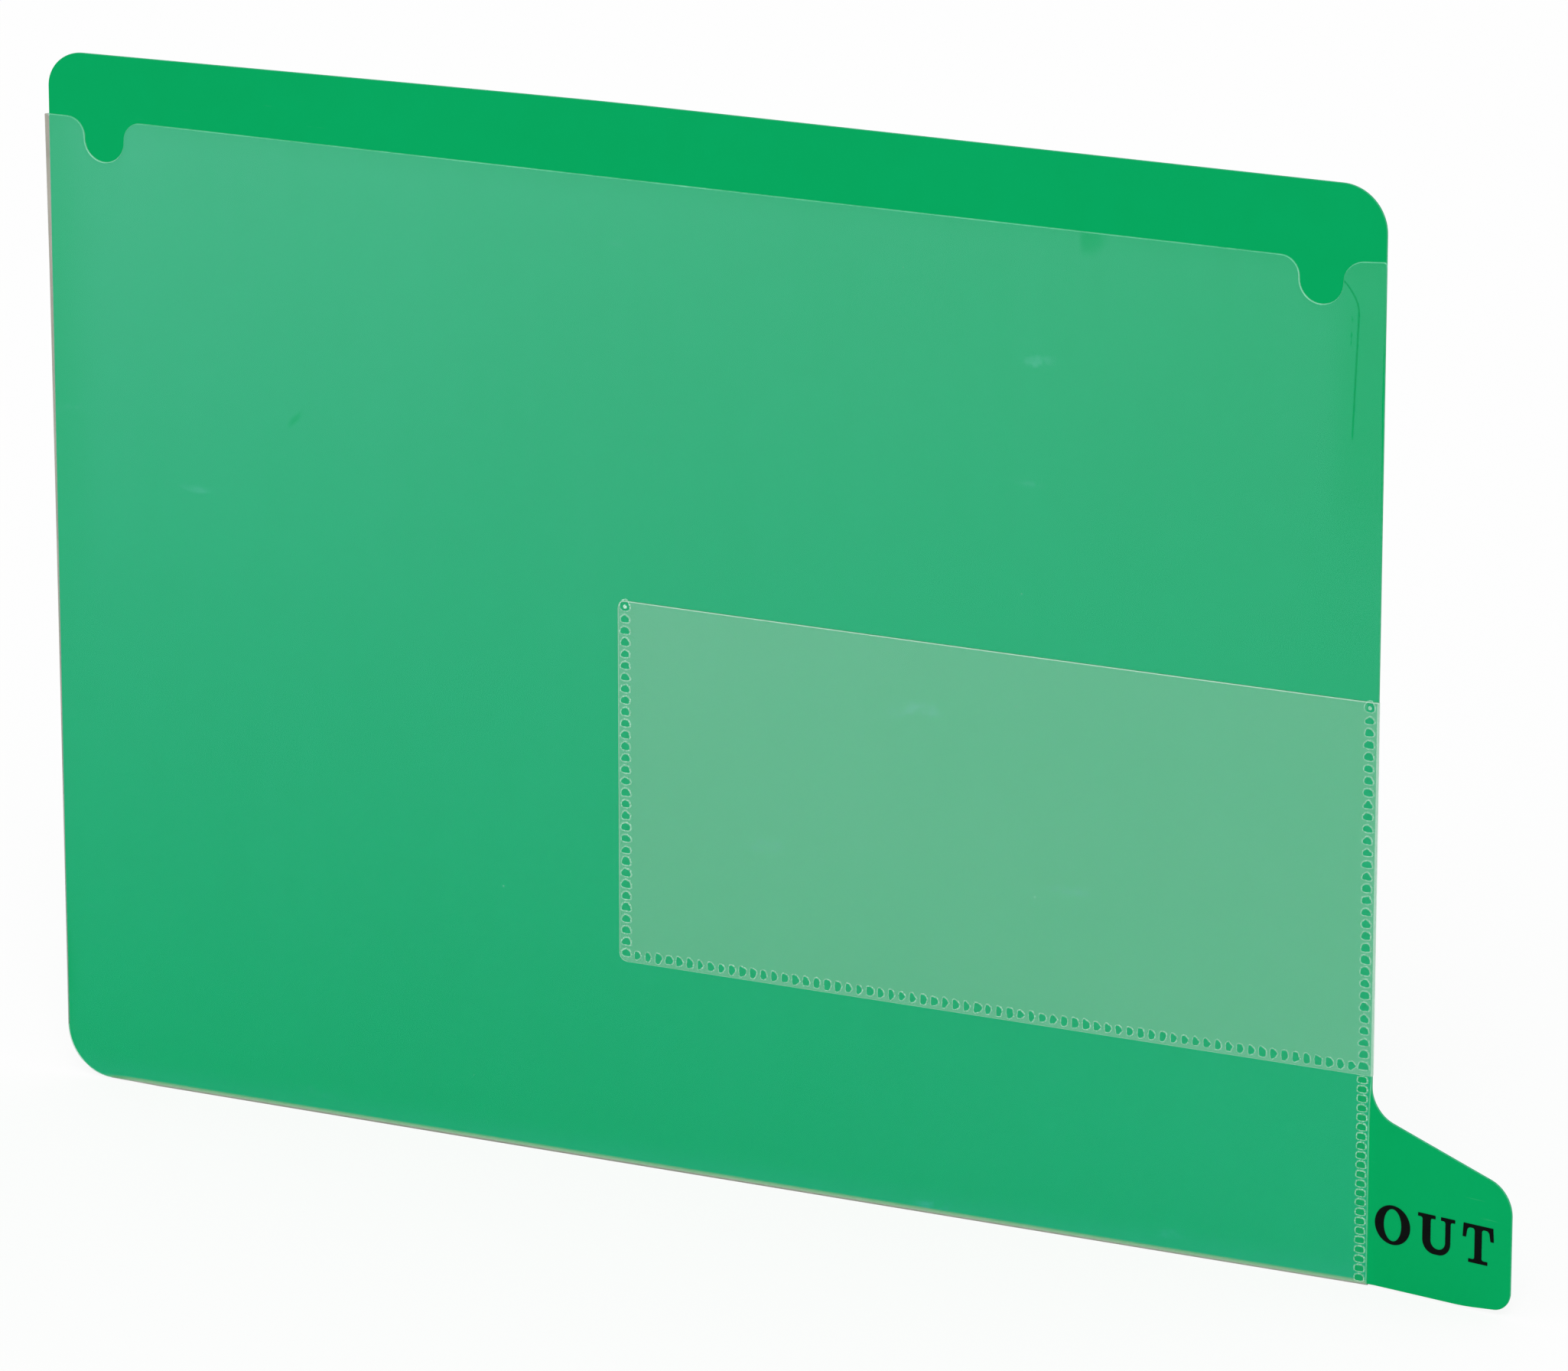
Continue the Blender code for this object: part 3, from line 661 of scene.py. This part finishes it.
# Card pocket: a smaller, milkier film laid on the letter pocket and welded to it on three sides.
# Its open mouth bows forward a little between the two upright welds, and its cut edge is a painted
# highlight.
card_low, card_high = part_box("card_pocket_film")
CARD_DEPTH = (card_low.y + card_high.y) / 2.0
CARD_EDGE_THICKNESS = 0.001
CARD_SIDE_WEIGHT = 0.4
CARD_MOUTH_BOW = 0.0005
CARD_BOW_END = 0.9999
CARD_ROUND_CORNER = 0.0019
CARD_SHARP_CORNER = 0.0003
CARD_BORDER = (0.0, 0.0002, 0.0008, CARD_ROUND_CORNER)
CARD_OVERREACH = 0.0013
CARD_COLUMNS = 61
CARD_ROWS = 29
CARD_FOOT_BAND = card_low.z + 0.0022, card_low.z + 0.0008
CARD_LEFT_BAND = card_low.x + 0.0004, card_low.x + 0.0001
CARD_PAST_SHEET = PANEL_RIGHT, PANEL_RIGHT + 0.0002
CARD_GREY_EDGE = PANEL_RIGHT + 0.0003, PANEL_RIGHT + 0.0005
CARD_HAZE_LEFTWARD = 0.12, -0.02
CARD_HAZE_RISE = 0.06, 0.14


def card_steps(length, count):
    """Even steps along a side of the card film, with the border's own steps at both ends."""
    border = np.array(CARD_BORDER)
    middle = np.linspace(border[-1], length - border[-1], count)[1:-1]
    return np.concatenate((border, middle, length - border[::-1]))


def card_grid():
    """The card film as a grid: an even rectangle whose corners are rounded, the left ones more.

    A point near a corner moves towards the corner's arc: both coordinates are measured from the arc's
    centre, and the square there is mapped onto the quarter circle. The mouth bows as the root of a half
    sine wave across, and the bow dies out downward with the height's third power.
    """
    width, height = card_high.x - card_low.x + CARD_OVERREACH, card_high.z - card_low.z
    u, v = np.meshgrid(card_steps(width, CARD_COLUMNS), card_steps(height, CARD_ROWS)[::-1])
    radius = np.where(u < width / 2.0, CARD_ROUND_CORNER, CARD_SHARP_CORNER)
    near_u = np.clip(np.abs(u - width / 2.0) - width / 2.0 + radius, 0.0, None) / radius
    near_v = np.clip(np.abs(v - height / 2.0) - height / 2.0 + radius, 0.0, None) / radius
    u = u + np.sign(u - width / 2.0) * near_u * (np.sqrt(1.0 - near_v ** 2 / 2.0) - 1.0) * radius
    v = v + np.sign(v - height / 2.0) * near_v * (np.sqrt(1.0 - near_u ** 2 / 2.0) - 1.0) * radius
    wave = np.sqrt(np.sin(np.pi * np.clip(u / width, 0.0, CARD_BOW_END)))
    bow = CARD_MOUTH_BOW * wave * (v / height) ** 3
    return np.stack((card_low.x + u, CARD_DEPTH - bow, card_low.z + v), axis=-1)


# The film is milky, a little more towards its upper left corner, and denser along its foot and its left
# side. Its right side reaches past the sheet, where it shows pale and worn, and greyer at the very edge.
card_finish, shader, place = new_finish("milky_card_film")
x, z = place.axis("X"), place.axis("Z")
drift = place.noise(30.0, 3.0)
fibres = place.noise(520.0, 3.0)
worn = place.noise(900.0, 2.0, (1.0, 1.0, 0.3))
dust = place.specks(62.0, 0.0003)
margin = z.fade(*CARD_FOOT_BAND) + 5.0 * x.fade(*CARD_LEFT_BAND) * worn
edge = x.fade(*CARD_PAST_SHEET)
corner_haze = x.fade(*CARD_HAZE_LEFTWARD) * z.fade(*CARD_HAZE_RISE)
cover = (0.092 + 0.010 * corner_haze) * (0.94 + 0.12 * drift) + 0.02 * margin + 0.2 * dust
cover = cover + (0.3 + 0.3 * worn) * edge
edge_milk = x.fade(*CARD_GREY_EDGE).mix(colour(188, 226, 205), colour(168, 196, 180))
milk = dust.mix((0.60, 0.73, 0.67, 1.0), (0.80, 0.90, 0.84, 1.0))
milk = edge.mix(milk, edge_milk)
feed(shader, base_color=milk, alpha=cover, roughness=0.25 + 0.2 * fibres, normal=drift.bump(0.2, 0.0006))

# Painted highlight: the mouth's cut edge is pale and nearly opaque.
mouth_highlight_finish, shader, place = new_finish("card_mouth_highlight")
nicks = place.noise(420.0, 3.0)
feed(shader, base_color=nicks.mix(colour(168, 228, 196), colour(212, 243, 224)))
feed(shader, alpha=0.8 + 0.2 * nicks, roughness=0.3)

grid = card_grid()
card_faces = quads(numbered(grid))
in_mouth = np.arange(len(card_faces)) < grid.shape[1] - 1
card = add_piece("card_pocket", grid.reshape(-1, 3), card_faces, [card_finish, mouth_highlight_finish], in_mouth,
                 np.ones(len(card_faces)), closed=False)
edge_weights = np.zeros(grid.shape[:2])
edge_weights[:, -1] = CARD_SIDE_WEIGHT
edge_weights[0] = 1.0
make_film(card, edge_weights.ravel(), CARD_EDGE_THICKNESS)
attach(card, "panel")
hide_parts("card_pocket_film")


# Weld seams: chains of pressed cells, three round the card pocket and one from there to the bottom edge.
# Each cell is a clear fused window in a raised, cloudy rim, and no two came out of the press quite alike.
CELL_ANGLES = 20
CELL_NOSE_SHARE = 1.35
CELL_HEEL_SHARE = 0.65
CELL_RINGS = (0.0, 0.2, 0.85, 1.0)
WINDOW_HEIGHT = 0.35
WINDOW_SLOPE = 0.00004
RIM_SHOULDER = 0.00005
RIM_SLOPE = 0.00008
CARD_CELLS = 30
CARD_PITCH = 0.00258
CARD_CELL_RIM = 0.0004
CARD_FOOT_RIM = 0.0003
CARD_FOOT_SHIFT = -0.0004
CARD_FOOT_ENDS = 0.0004, 0.0002
CARD_SIDE_SHIFTS = {"left": -0.0004, "right": 0.0010}
CARD_FIRST_CELL = 0.0011
CARD_LAST_CELL = 0.0043
POCKET_PITCH = 0.0021
POCKET_CELL_RIM = 0.00036
POCKET_SHIFT = 0.0006
END_CELL_DROP = 0.00145
END_CELL_RADIUS = 0.0013
END_CELL_PROFILE = ((0.26, 0.0, 1.0), (0.36, 0.0, WINDOW_HEIGHT), (0.84, 0.0, WINDOW_HEIGHT),
                    (0.9, 0.0, 1.0), (1.06, 0.0, 1.0), (1.12, 0.0, 0.0))
END_CELL_RINGS = (0.2, 0.2, 0.0, 0.2, 0.3, 1.0)
RIM_PICK, CARD_WINDOW_PICK, POCKET_WINDOW_PICK = 0, 1, 2
UPRIGHT, LEVEL = (0.0, 1.0), (1.0, 0.0)
WINDOW_LINE = 0.5, 0.2
FOOT_LINE = 0.6, 0.85
FAINT_RIGHT = 0.10, 0.15
FAINT_ABOVE = card_low.z - 0.001, card_low.z + 0.002
rng = np.random.default_rng(31)


def cell_outline(count, half_along, half_across, nose, heel, wobble):
    """Distance from a cell's middle to its rim, for each cell and angle from the seam's direction.

    A superellipse: a low power on the nose half rounds or points it, a high one squares the heel half,
    which is the shorter. Sizes and powers vary from cell to cell, and waves and a small jitter make each
    outline uneven.
    """
    angle = np.linspace(0.0, 2.0 * np.pi, CELL_ANGLES, endpoint=False)[None]
    vary = rng.normal(size=(8, count, 1)).clip(-1.8, 1.8)
    power = np.where(np.cos(angle) > 0.0, nose * (1.0 + 0.16 * vary[0]), heel)
    ahead = half_along * np.where(np.cos(angle) > 0.0, CELL_NOSE_SHARE, CELL_HEEL_SHARE)
    along = np.abs(np.cos(angle)) / (ahead * (1.0 + wobble * vary[1]))
    across = np.abs(np.sin(angle)) / (half_across * (1.0 + 0.7 * wobble * vary[2]))
    radius = (along ** power + across ** power) ** (-1.0 / power)
    waves = vary[3] * np.sin(2.0 * angle + vary[4] * 3.0) + vary[5] * np.sin(3.0 * angle + vary[3] * 5.0)
    waves = waves + 0.8 * vary[6] * np.sin(5.0 * angle + vary[7] * 4.0)
    jitter = 0.4 * wobble * rng.normal(size=(count, CELL_ANGLES)).clip(-1.5, 1.5)
    return radius * (1.0 + 0.5 * wobble * waves + jitter), angle


def pressed_cells(middles, direction, outline, profile, low, high):
    """Closed shells of cells: rings round each middle, from the window's border out over the rim.

    profile gives each ring's share of the outline, its addition to it, and its height from the back of
    the seam, 0, to its front, 1. A cap closes the innermost ring, and another the outermost behind.
    """
    radius, angle = outline
    heading = np.arctan2(direction[1], direction[0]) + angle
    share, extra, height = np.array(profile).T[:, None, :, None]
    reach = (share * radius[:, None] + extra)[..., None]
    spots = middles[:, None, None] + reach * np.stack((np.cos(heading), np.sin(heading)), axis=-1)[:, None]
    depth = np.broadcast_to(high - (high - low) * height, spots.shape[:3])
    points = np.stack((spots[..., 0], depth, spots[..., 1]), axis=-1)
    numbers = numbered(points)
    return points.reshape(-1, 3), quads(lapped(numbers)), numbers[:, 0], numbers[:, -1]


def weld_seam(name, node, middles, direction, outline, rim, window, end_cell=None):
    """One seam: its cells, and on the upright card seams a round end cell with a raised dot at the top.

    Each vertex keeps its share of the way from the window's border to the rim's foot as the value ring.
    """
    low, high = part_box(node)
    profile = ((1.0, -WINDOW_SLOPE, WINDOW_HEIGHT), (1.0, RIM_SHOULDER, 1.0),
               (1.0, rim - RIM_SLOPE, 1.0), (1.0, rim, 0.0))
    runs = [(middles, outline, profile, (window, window, RIM_PICK, RIM_PICK), CELL_RINGS)]
    if end_cell is not None:
        round_line = cell_outline(1, END_CELL_RADIUS, END_CELL_RADIUS, nose=2.0, heel=2.0, wobble=0.03)
        band_picks = (RIM_PICK, RIM_PICK, window, window, RIM_PICK, RIM_PICK)
        runs.append((end_cell, round_line, END_CELL_PROFILE, band_picks, END_CELL_RINGS))
    points, faces, picks, shares, in_band = [], [], [], [], []
    for spots, line, shape, band_picks, rings in runs:
        start = sum(map(len, points))
        more, bands, fronts, backs = pressed_cells(spots, direction, line, shape, low.y, high.y)
        points.append(more)
        faces += [*(bands + start), *(fronts + start), *(backs + start)]
        picks += [np.tile(np.repeat(band_picks[1:], CELL_ANGLES), len(spots)),
                  np.full(len(fronts), band_picks[0]), np.full(len(backs), RIM_PICK)]
        shares.append(np.tile(np.repeat(rings, CELL_ANGLES), len(spots)))
        in_band += [np.ones(len(bands)), np.zeros(len(fronts) + len(backs))]
    finishes = [ridge_finish, card_window_finish, pocket_window_finish]
    seam = add_piece(name, np.concatenate(points), faces, finishes, np.concatenate(picks),
                     np.concatenate(in_band))
    ring = seam.data.attributes.new("ring", "FLOAT", "POINT")
    ring.data.foreach_set("value", np.concatenate(shares).astype(np.float32))
    pass_light(seam)
    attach(seam, "panel")
    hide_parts(node)


# The rim is frothy, with a strong line round the window and a weak one near its foot. Both lines are fainter
# towards the right side of the card pocket.
ridge_finish, shader, place = new_finish("cloudy_weld_rim")
x, z = place.axis("X"), place.axis("Z")
ring = place.node("ShaderNodeAttribute", {"attribute_name": "ring"}, output="Fac")
froth = place.noise(3000.0, 2.0).fade(0.3, 0.7)
lines = ring.fade(*WINDOW_LINE) * (0.6 + 0.5 * froth) + 0.4 * ring.fade(*FOOT_LINE) * froth
lines = lines * (1.0 - 0.6 * x.fade(*FAINT_RIGHT) * z.fade(*FAINT_ABOVE))
cloudy = froth.mix(colour(132, 200, 166), colour(200, 240, 218))
feed(shader, base_color=cloudy, roughness=0.3 + 0.3 * froth, specular_ior_level=0.2)
feed(shader, alpha=0.06 + 0.16 * froth + 0.75 * lines)


def window_finish(name, dark, light):
    """Finish of the fused windows, through which the sheet shows between a dark and a light green."""
    finish, shader, place = new_finish(name)
    swirl = place.noise(700.0, 2.0)
    feed(shader, base_color=swirl.mix(dark, light), roughness=0.25 + 0.15 * swirl)
    feed(shader, alpha=0.9 + 0.1 * swirl, specular_ior_level=0.03)
    return finish


card_window_finish = window_finish("fused_card_window", colour(8, 154, 96), colour(38, 172, 120))
pocket_window_finish = window_finish("fused_pocket_window", colour(0, 150, 84), colour(4, 164, 98))

for side, shift in CARD_SIDE_SHIFTS.items():
    low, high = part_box("card_seam_" + side)
    middle = (low.x + high.x) / 2.0 + shift
    heights = np.linspace(low.z + CARD_FIRST_CELL, card_high.z - CARD_LAST_CELL, CARD_CELLS)
    middles = np.stack((np.full(CARD_CELLS, middle), heights), axis=-1)
    outline = cell_outline(CARD_CELLS, half_along=0.00078, half_across=0.00102,
                           nose=1.9, heel=5.0, wobble=0.08)
    weld_seam("card_weld_" + side, "card_seam_" + side, middles, UPRIGHT, outline, CARD_CELL_RIM,
              CARD_WINDOW_PICK, np.array([(middle, card_high.z - END_CELL_DROP)]))

low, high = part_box("card_seam_bottom")
cells = int((high.x - low.x) / CARD_PITCH) + 1
places = np.linspace(low.x + CARD_FOOT_ENDS[0], high.x - CARD_FOOT_ENDS[1], cells)
middles = np.stack((places, np.full(cells, (low.z + high.z) / 2.0 + CARD_FOOT_SHIFT)), axis=-1)
outline = cell_outline(cells, half_along=0.00074, half_across=0.00102, nose=1.7, heel=5.0, wobble=0.1)
weld_seam("card_weld_bottom", "card_seam_bottom", middles, LEVEL, outline, CARD_FOOT_RIM, CARD_WINDOW_PICK)

low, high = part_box("pocket_seam_right")
cells = int((high.z - low.z) / POCKET_PITCH)
heights = low.z + (high.z - low.z) / cells * (np.arange(cells) + 0.5)
middles = np.stack((np.full(cells, (low.x + high.x) / 2.0 + POCKET_SHIFT), heights), axis=-1)
outline = cell_outline(cells, half_along=0.00064, half_across=0.00098, nose=4.0, heel=5.0, wobble=0.025)
weld_seam("pocket_weld", "pocket_seam_right", middles, UPRIGHT, outline, POCKET_CELL_RIM,
          POCKET_WINDOW_PICK)


# Printed word: three bold letters with bracketed serifs, in black ink, on the tab's front and on its back.
# The ink film lies on the sheet, is a little uneven, and follows the tab's bend.
INK_GAP = 0.00002
INK_THICKNESS = 0.00005
LETTER_HEIGHT = 0.0086
LETTER_BASE = PANEL_FLOOR + 0.0103
LETTER_TOP = LETTER_BASE + LETTER_HEIGHT
LETTER_OVERSHOOT = 0.00012
LETTER_SPACE = 0.0019
LETTER_ARC_POINTS = 9
WORD_START = PANEL_RIGHT + 0.0013
HAIRLINE = 0.0008
BRACKET = 0.0005
O_WIDTH = 0.0089
O_STEM = 0.00225
O_POINTS = 72
U_WIDTH = 0.0093
U_STEM = 0.00205
U_THIN_STEM = 0.0013
U_HEAVY_SERIFS = 0.00115, 0.0012
U_THIN_SERIF = 0.00112
U_BOWL = 0.00125
U_BOWL_RADII = 0.0030, 0.0018
U_SOFT = 0.00012
T_WIDTH = 0.0078
T_STEM = 0.0018
T_FOOT = 0.0048
T_ARM_END = 0.00085
T_ARM_DROP = 0.0031
T_ARM_SLANT = 0.0002
T_ARM_TAPER = 0.0004
T_ARM_RADII = 0.0009, 0.0006
T_SOFT = 0.0001


def letter_o(left):
    """Outer and inner line of the O: a round ellipse, and a narrow one in it that leaves heavy sides."""
    angle = np.linspace(0.0, 2.0 * np.pi, O_POINTS, endpoint=False)
    circle = np.stack((np.cos(angle), np.sin(angle)), axis=-1)
    middle = np.array((left + O_WIDTH / 2.0, LETTER_BASE + LETTER_HEIGHT / 2.0))
    half = np.array((O_WIDTH / 2.0, LETTER_HEIGHT / 2.0 + LETTER_OVERSHOOT))
    return middle + circle * half, middle + circle * (half - (O_STEM, HAIRLINE))


def letter_line(corners):
    """Outline of a letter from corners given as x, z and rounding radius, without double points."""
    corners = np.array(corners)
    line = rounded_corners(corners[:, :2], corners[:, 2], LETTER_ARC_POINTS).reshape(-1, 2)
    return line[np.linalg.norm(line - np.roll(line, 1, axis=0), axis=1) > SAME_POINT]


def letter_u(left):
    """Outline of the U: a heavy and a thin stem on one round bowl, each with a bracketed flat serif."""
    base, under = LETTER_BASE - LETTER_OVERSHOOT, LETTER_TOP - HAIRLINE
    heavy = left + U_HEAVY_SERIFS[0]
    heavy_end = heavy + U_STEM
    heavy_serif = heavy_end + U_HEAVY_SERIFS[1]
    right = left + U_WIDTH
    thin_end = right - U_THIN_SERIF
    thin = thin_end - U_THIN_STEM
    thin_serif = thin - U_THIN_SERIF
    return letter_line([
        (left, LETTER_TOP, U_SOFT), (left, under, U_SOFT), (heavy, under, BRACKET),
        (heavy, base, U_BOWL_RADII[0]), (thin_end, base, U_BOWL_RADII[0]),
        (thin_end, under, BRACKET), (right, under, U_SOFT), (right, LETTER_TOP, U_SOFT),
        (thin_serif, LETTER_TOP, U_SOFT), (thin_serif, under, U_SOFT), (thin, under, BRACKET),
        (thin, base + U_BOWL, U_BOWL_RADII[1]), (heavy_end, base + U_BOWL, U_BOWL_RADII[1]),
        (heavy_end, under, BRACKET), (heavy_serif, under, U_SOFT), (heavy_serif, LETTER_TOP, U_SOFT),
    ])


def letter_t(left):
    """Outline of the T: a heavy stem on a bracketed foot, under an arm whose ends hang down.

    The left half is listed from its top corner down to the foot, and the right half is its mirror image.
    """
    middle = left + T_WIDTH / 2.0
    foot_top, arm_under, arm_low = LETTER_BASE + HAIRLINE, LETTER_TOP - HAIRLINE, LETTER_TOP - T_ARM_DROP
    half = np.array([
        (left + T_ARM_SLANT, LETTER_TOP, T_SOFT), (left, arm_low, T_SOFT),
        (left + T_ARM_END, arm_low, T_SOFT), (left + T_ARM_END + T_ARM_TAPER, arm_under, T_ARM_RADII[0]),
        (middle - T_STEM / 2.0, arm_under, T_ARM_RADII[1]), (middle - T_STEM / 2.0, foot_top, BRACKET),
        (middle - T_FOOT / 2.0, foot_top, T_SOFT), (middle - T_FOOT / 2.0, LETTER_BASE, T_SOFT),
    ])
    mirrored = (2.0 * middle, 0.0, 0.0) + half[::-1] * (-1.0, 1.0, 1.0)
    return letter_line(np.concatenate((half, mirrored)))


def ink_plate(loops, toward):
    """Plate of ink on one side of the sheet: rings at its near and far depth, joined by walls.

    A letter with a counter goes on over its inner loop and back to its first ring. One without has a cap
    on each side instead.
    """
    near = PANEL_THICKNESS / 2.0 + INK_GAP
    far = near + INK_THICKNESS
    rings = [(loops[0], near), (loops[0], far)]
    if len(loops) == 2:
        rings += [(loops[1], far), (loops[1], near)]
    points = np.stack([np.insert(line, 1, toward * depth, axis=1) for line, depth in rings])
    numbers = numbered(points)
    if len(loops) == 2:
        return points.reshape(-1, 3), quads(lapped(np.concatenate((numbers, numbers[:1]))))
    return points.reshape(-1, 3), [*quads(lapped(numbers)), *numbers]


ink_finish, shader, place = new_finish("black_ink")
mottle = place.noise(420.0, 3.0)
pinholes = place.specks(900.0, 0.00003)
ink = pinholes.mix(mottle.mix(colour(1, 3, 2), colour(9, 13, 11)), colour(12, 52, 34))
feed(shader, base_color=ink, roughness=0.4 + 0.2 * mottle, specular_ior_level=0.04)

starts = np.cumsum((WORD_START, O_WIDTH + LETTER_SPACE, U_WIDTH + LETTER_SPACE))
word_middle = (WORD_START + starts[2] + T_WIDTH) / 2.0
outlines = {"o": letter_o(starts[0]), "u": (letter_u(starts[1]),), "t": (letter_t(starts[2]),)}
for side, toward in (("front", -1.0), ("back", 1.0)):
    for letter, lines in outlines.items():
        if side == "back":
            lines = [(2.0 * word_middle, 0.0) + line * (-1.0, 1.0) for line in lines]
        points, faces = ink_plate(lines, toward)
        word = add_piece("ink_{}_{}".format(letter, side), bend_tab(points), faces, [ink_finish],
                         np.zeros(len(faces)), np.zeros(len(faces)))
        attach(word, "panel")
        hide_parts("tab_letter_{}_{}".format(letter, side))


# Studio: a plain white floor under soft, even light from all round, and one broad lamp from the front right.
# The camera sees floor and air as near white, also mirrored. The light they throw on the part is weaker.
FLOOR_HALF = 6.0
FLOOR_GLOW = 0.85
AIR_STRENGTH = 0.72
LAMP_ENERGY = 1.1
LAMP_ANGLE = np.radians(28.0)
LAMP_TILT = np.radians(46.0)
LAMP_AZIMUTH = np.radians(24.0)
SENSOR_WIDTH_MM = 36.0
LENS_MM = 216.48
CAMERA_TARGET = np.array((0.021364, 0.0, 0.116133))
CAMERA_DISTANCE = 2.05338
CAMERA_AZIMUTH = np.radians(26.692)
CAMERA_ELEVATION = np.radians(16.063)
VIEW_DEPTH = 50.0


def seen_by_eye(wire):
    """Mask that is 1 on camera, mirrored and transmitted rays, and 0 on the rest."""
    rays = ("Is Camera Ray", "Is Glossy Ray", "Is Transmission Ray")
    straight, mirrored, through = [wire.node("ShaderNodeLightPath", output=ray) for ray in rays]
    return straight.above(mirrored).above(through)


floor_finish, shader, place = new_finish("white_paper_floor")
paper = place.noise(3.0, 2.0).mix((0.96, 0.96, 0.96, 1.0), (0.99, 0.99, 0.99, 1.0))
feed(shader, base_color=paper, roughness=0.9, specular_ior_level=0.0)
glow = place.node("ShaderNodeEmission", sockets={"Color": (1.0, 1.0, 1.0, 1.0), "Strength": 1.0})
surface = {0: seen_by_eye(place) * FLOOR_GLOW, 1: Wire(shader.outputs["BSDF"]), 2: glow}
lit = place.node("ShaderNodeMixShader", sockets=surface)
floor_output = floor_finish.node_tree.nodes["Material Output"]
floor_finish.node_tree.links.new(lit.socket, floor_output.inputs["Surface"])
floor_spots = FLOOR_HALF * np.array([(-1, -1, 0), (1, -1, 0), (1, 1, 0), (-1, 1, 0)])
floor = add_piece("studio_floor", floor_spots, [(0, 1, 2, 3)], [floor_finish], [0], [False], closed=False)

world = bpy.data.worlds.new("studio_air")
world.use_nodes = True
bpy.context.scene.world = world
air = world.node_tree.nodes["Background"]
air.inputs["Color"].default_value = (1.0, 1.0, 1.0, 1.0)
strength = AIR_STRENGTH + (1.0 - AIR_STRENGTH) * seen_by_eye(Wire(air.outputs["Background"]))
world.node_tree.links.new(strength.socket, air.inputs["Strength"])

lamp = bpy.data.lights.new("broad_lamp", "SUN")
lamp.energy = LAMP_ENERGY
lamp.angle = LAMP_ANGLE
lamp_object = bpy.data.objects.new("broad_lamp", lamp)
lamp_object.rotation_euler = (LAMP_TILT, 0.0, LAMP_AZIMUTH)
bpy.context.scene.collection.objects.link(lamp_object)

lens = bpy.data.cameras.new("studio_camera")
lens.sensor_fit = "HORIZONTAL"
lens.sensor_width = SENSOR_WIDTH_MM
lens.lens = LENS_MM
lens.clip_end = VIEW_DEPTH
camera = bpy.data.objects.new("studio_camera", lens)
toward_camera = np.array((np.sin(CAMERA_AZIMUTH) * np.cos(CAMERA_ELEVATION),
                          -np.cos(CAMERA_AZIMUTH) * np.cos(CAMERA_ELEVATION), np.sin(CAMERA_ELEVATION)))
camera.location = CAMERA_TARGET + CAMERA_DISTANCE * toward_camera
camera.rotation_euler = (np.pi / 2.0 - CAMERA_ELEVATION, 0.0, CAMERA_AZIMUTH)
bpy.context.scene.collection.objects.link(camera)
bpy.context.scene.camera = camera
bpy.context.scene.view_settings.view_transform = "Standard"
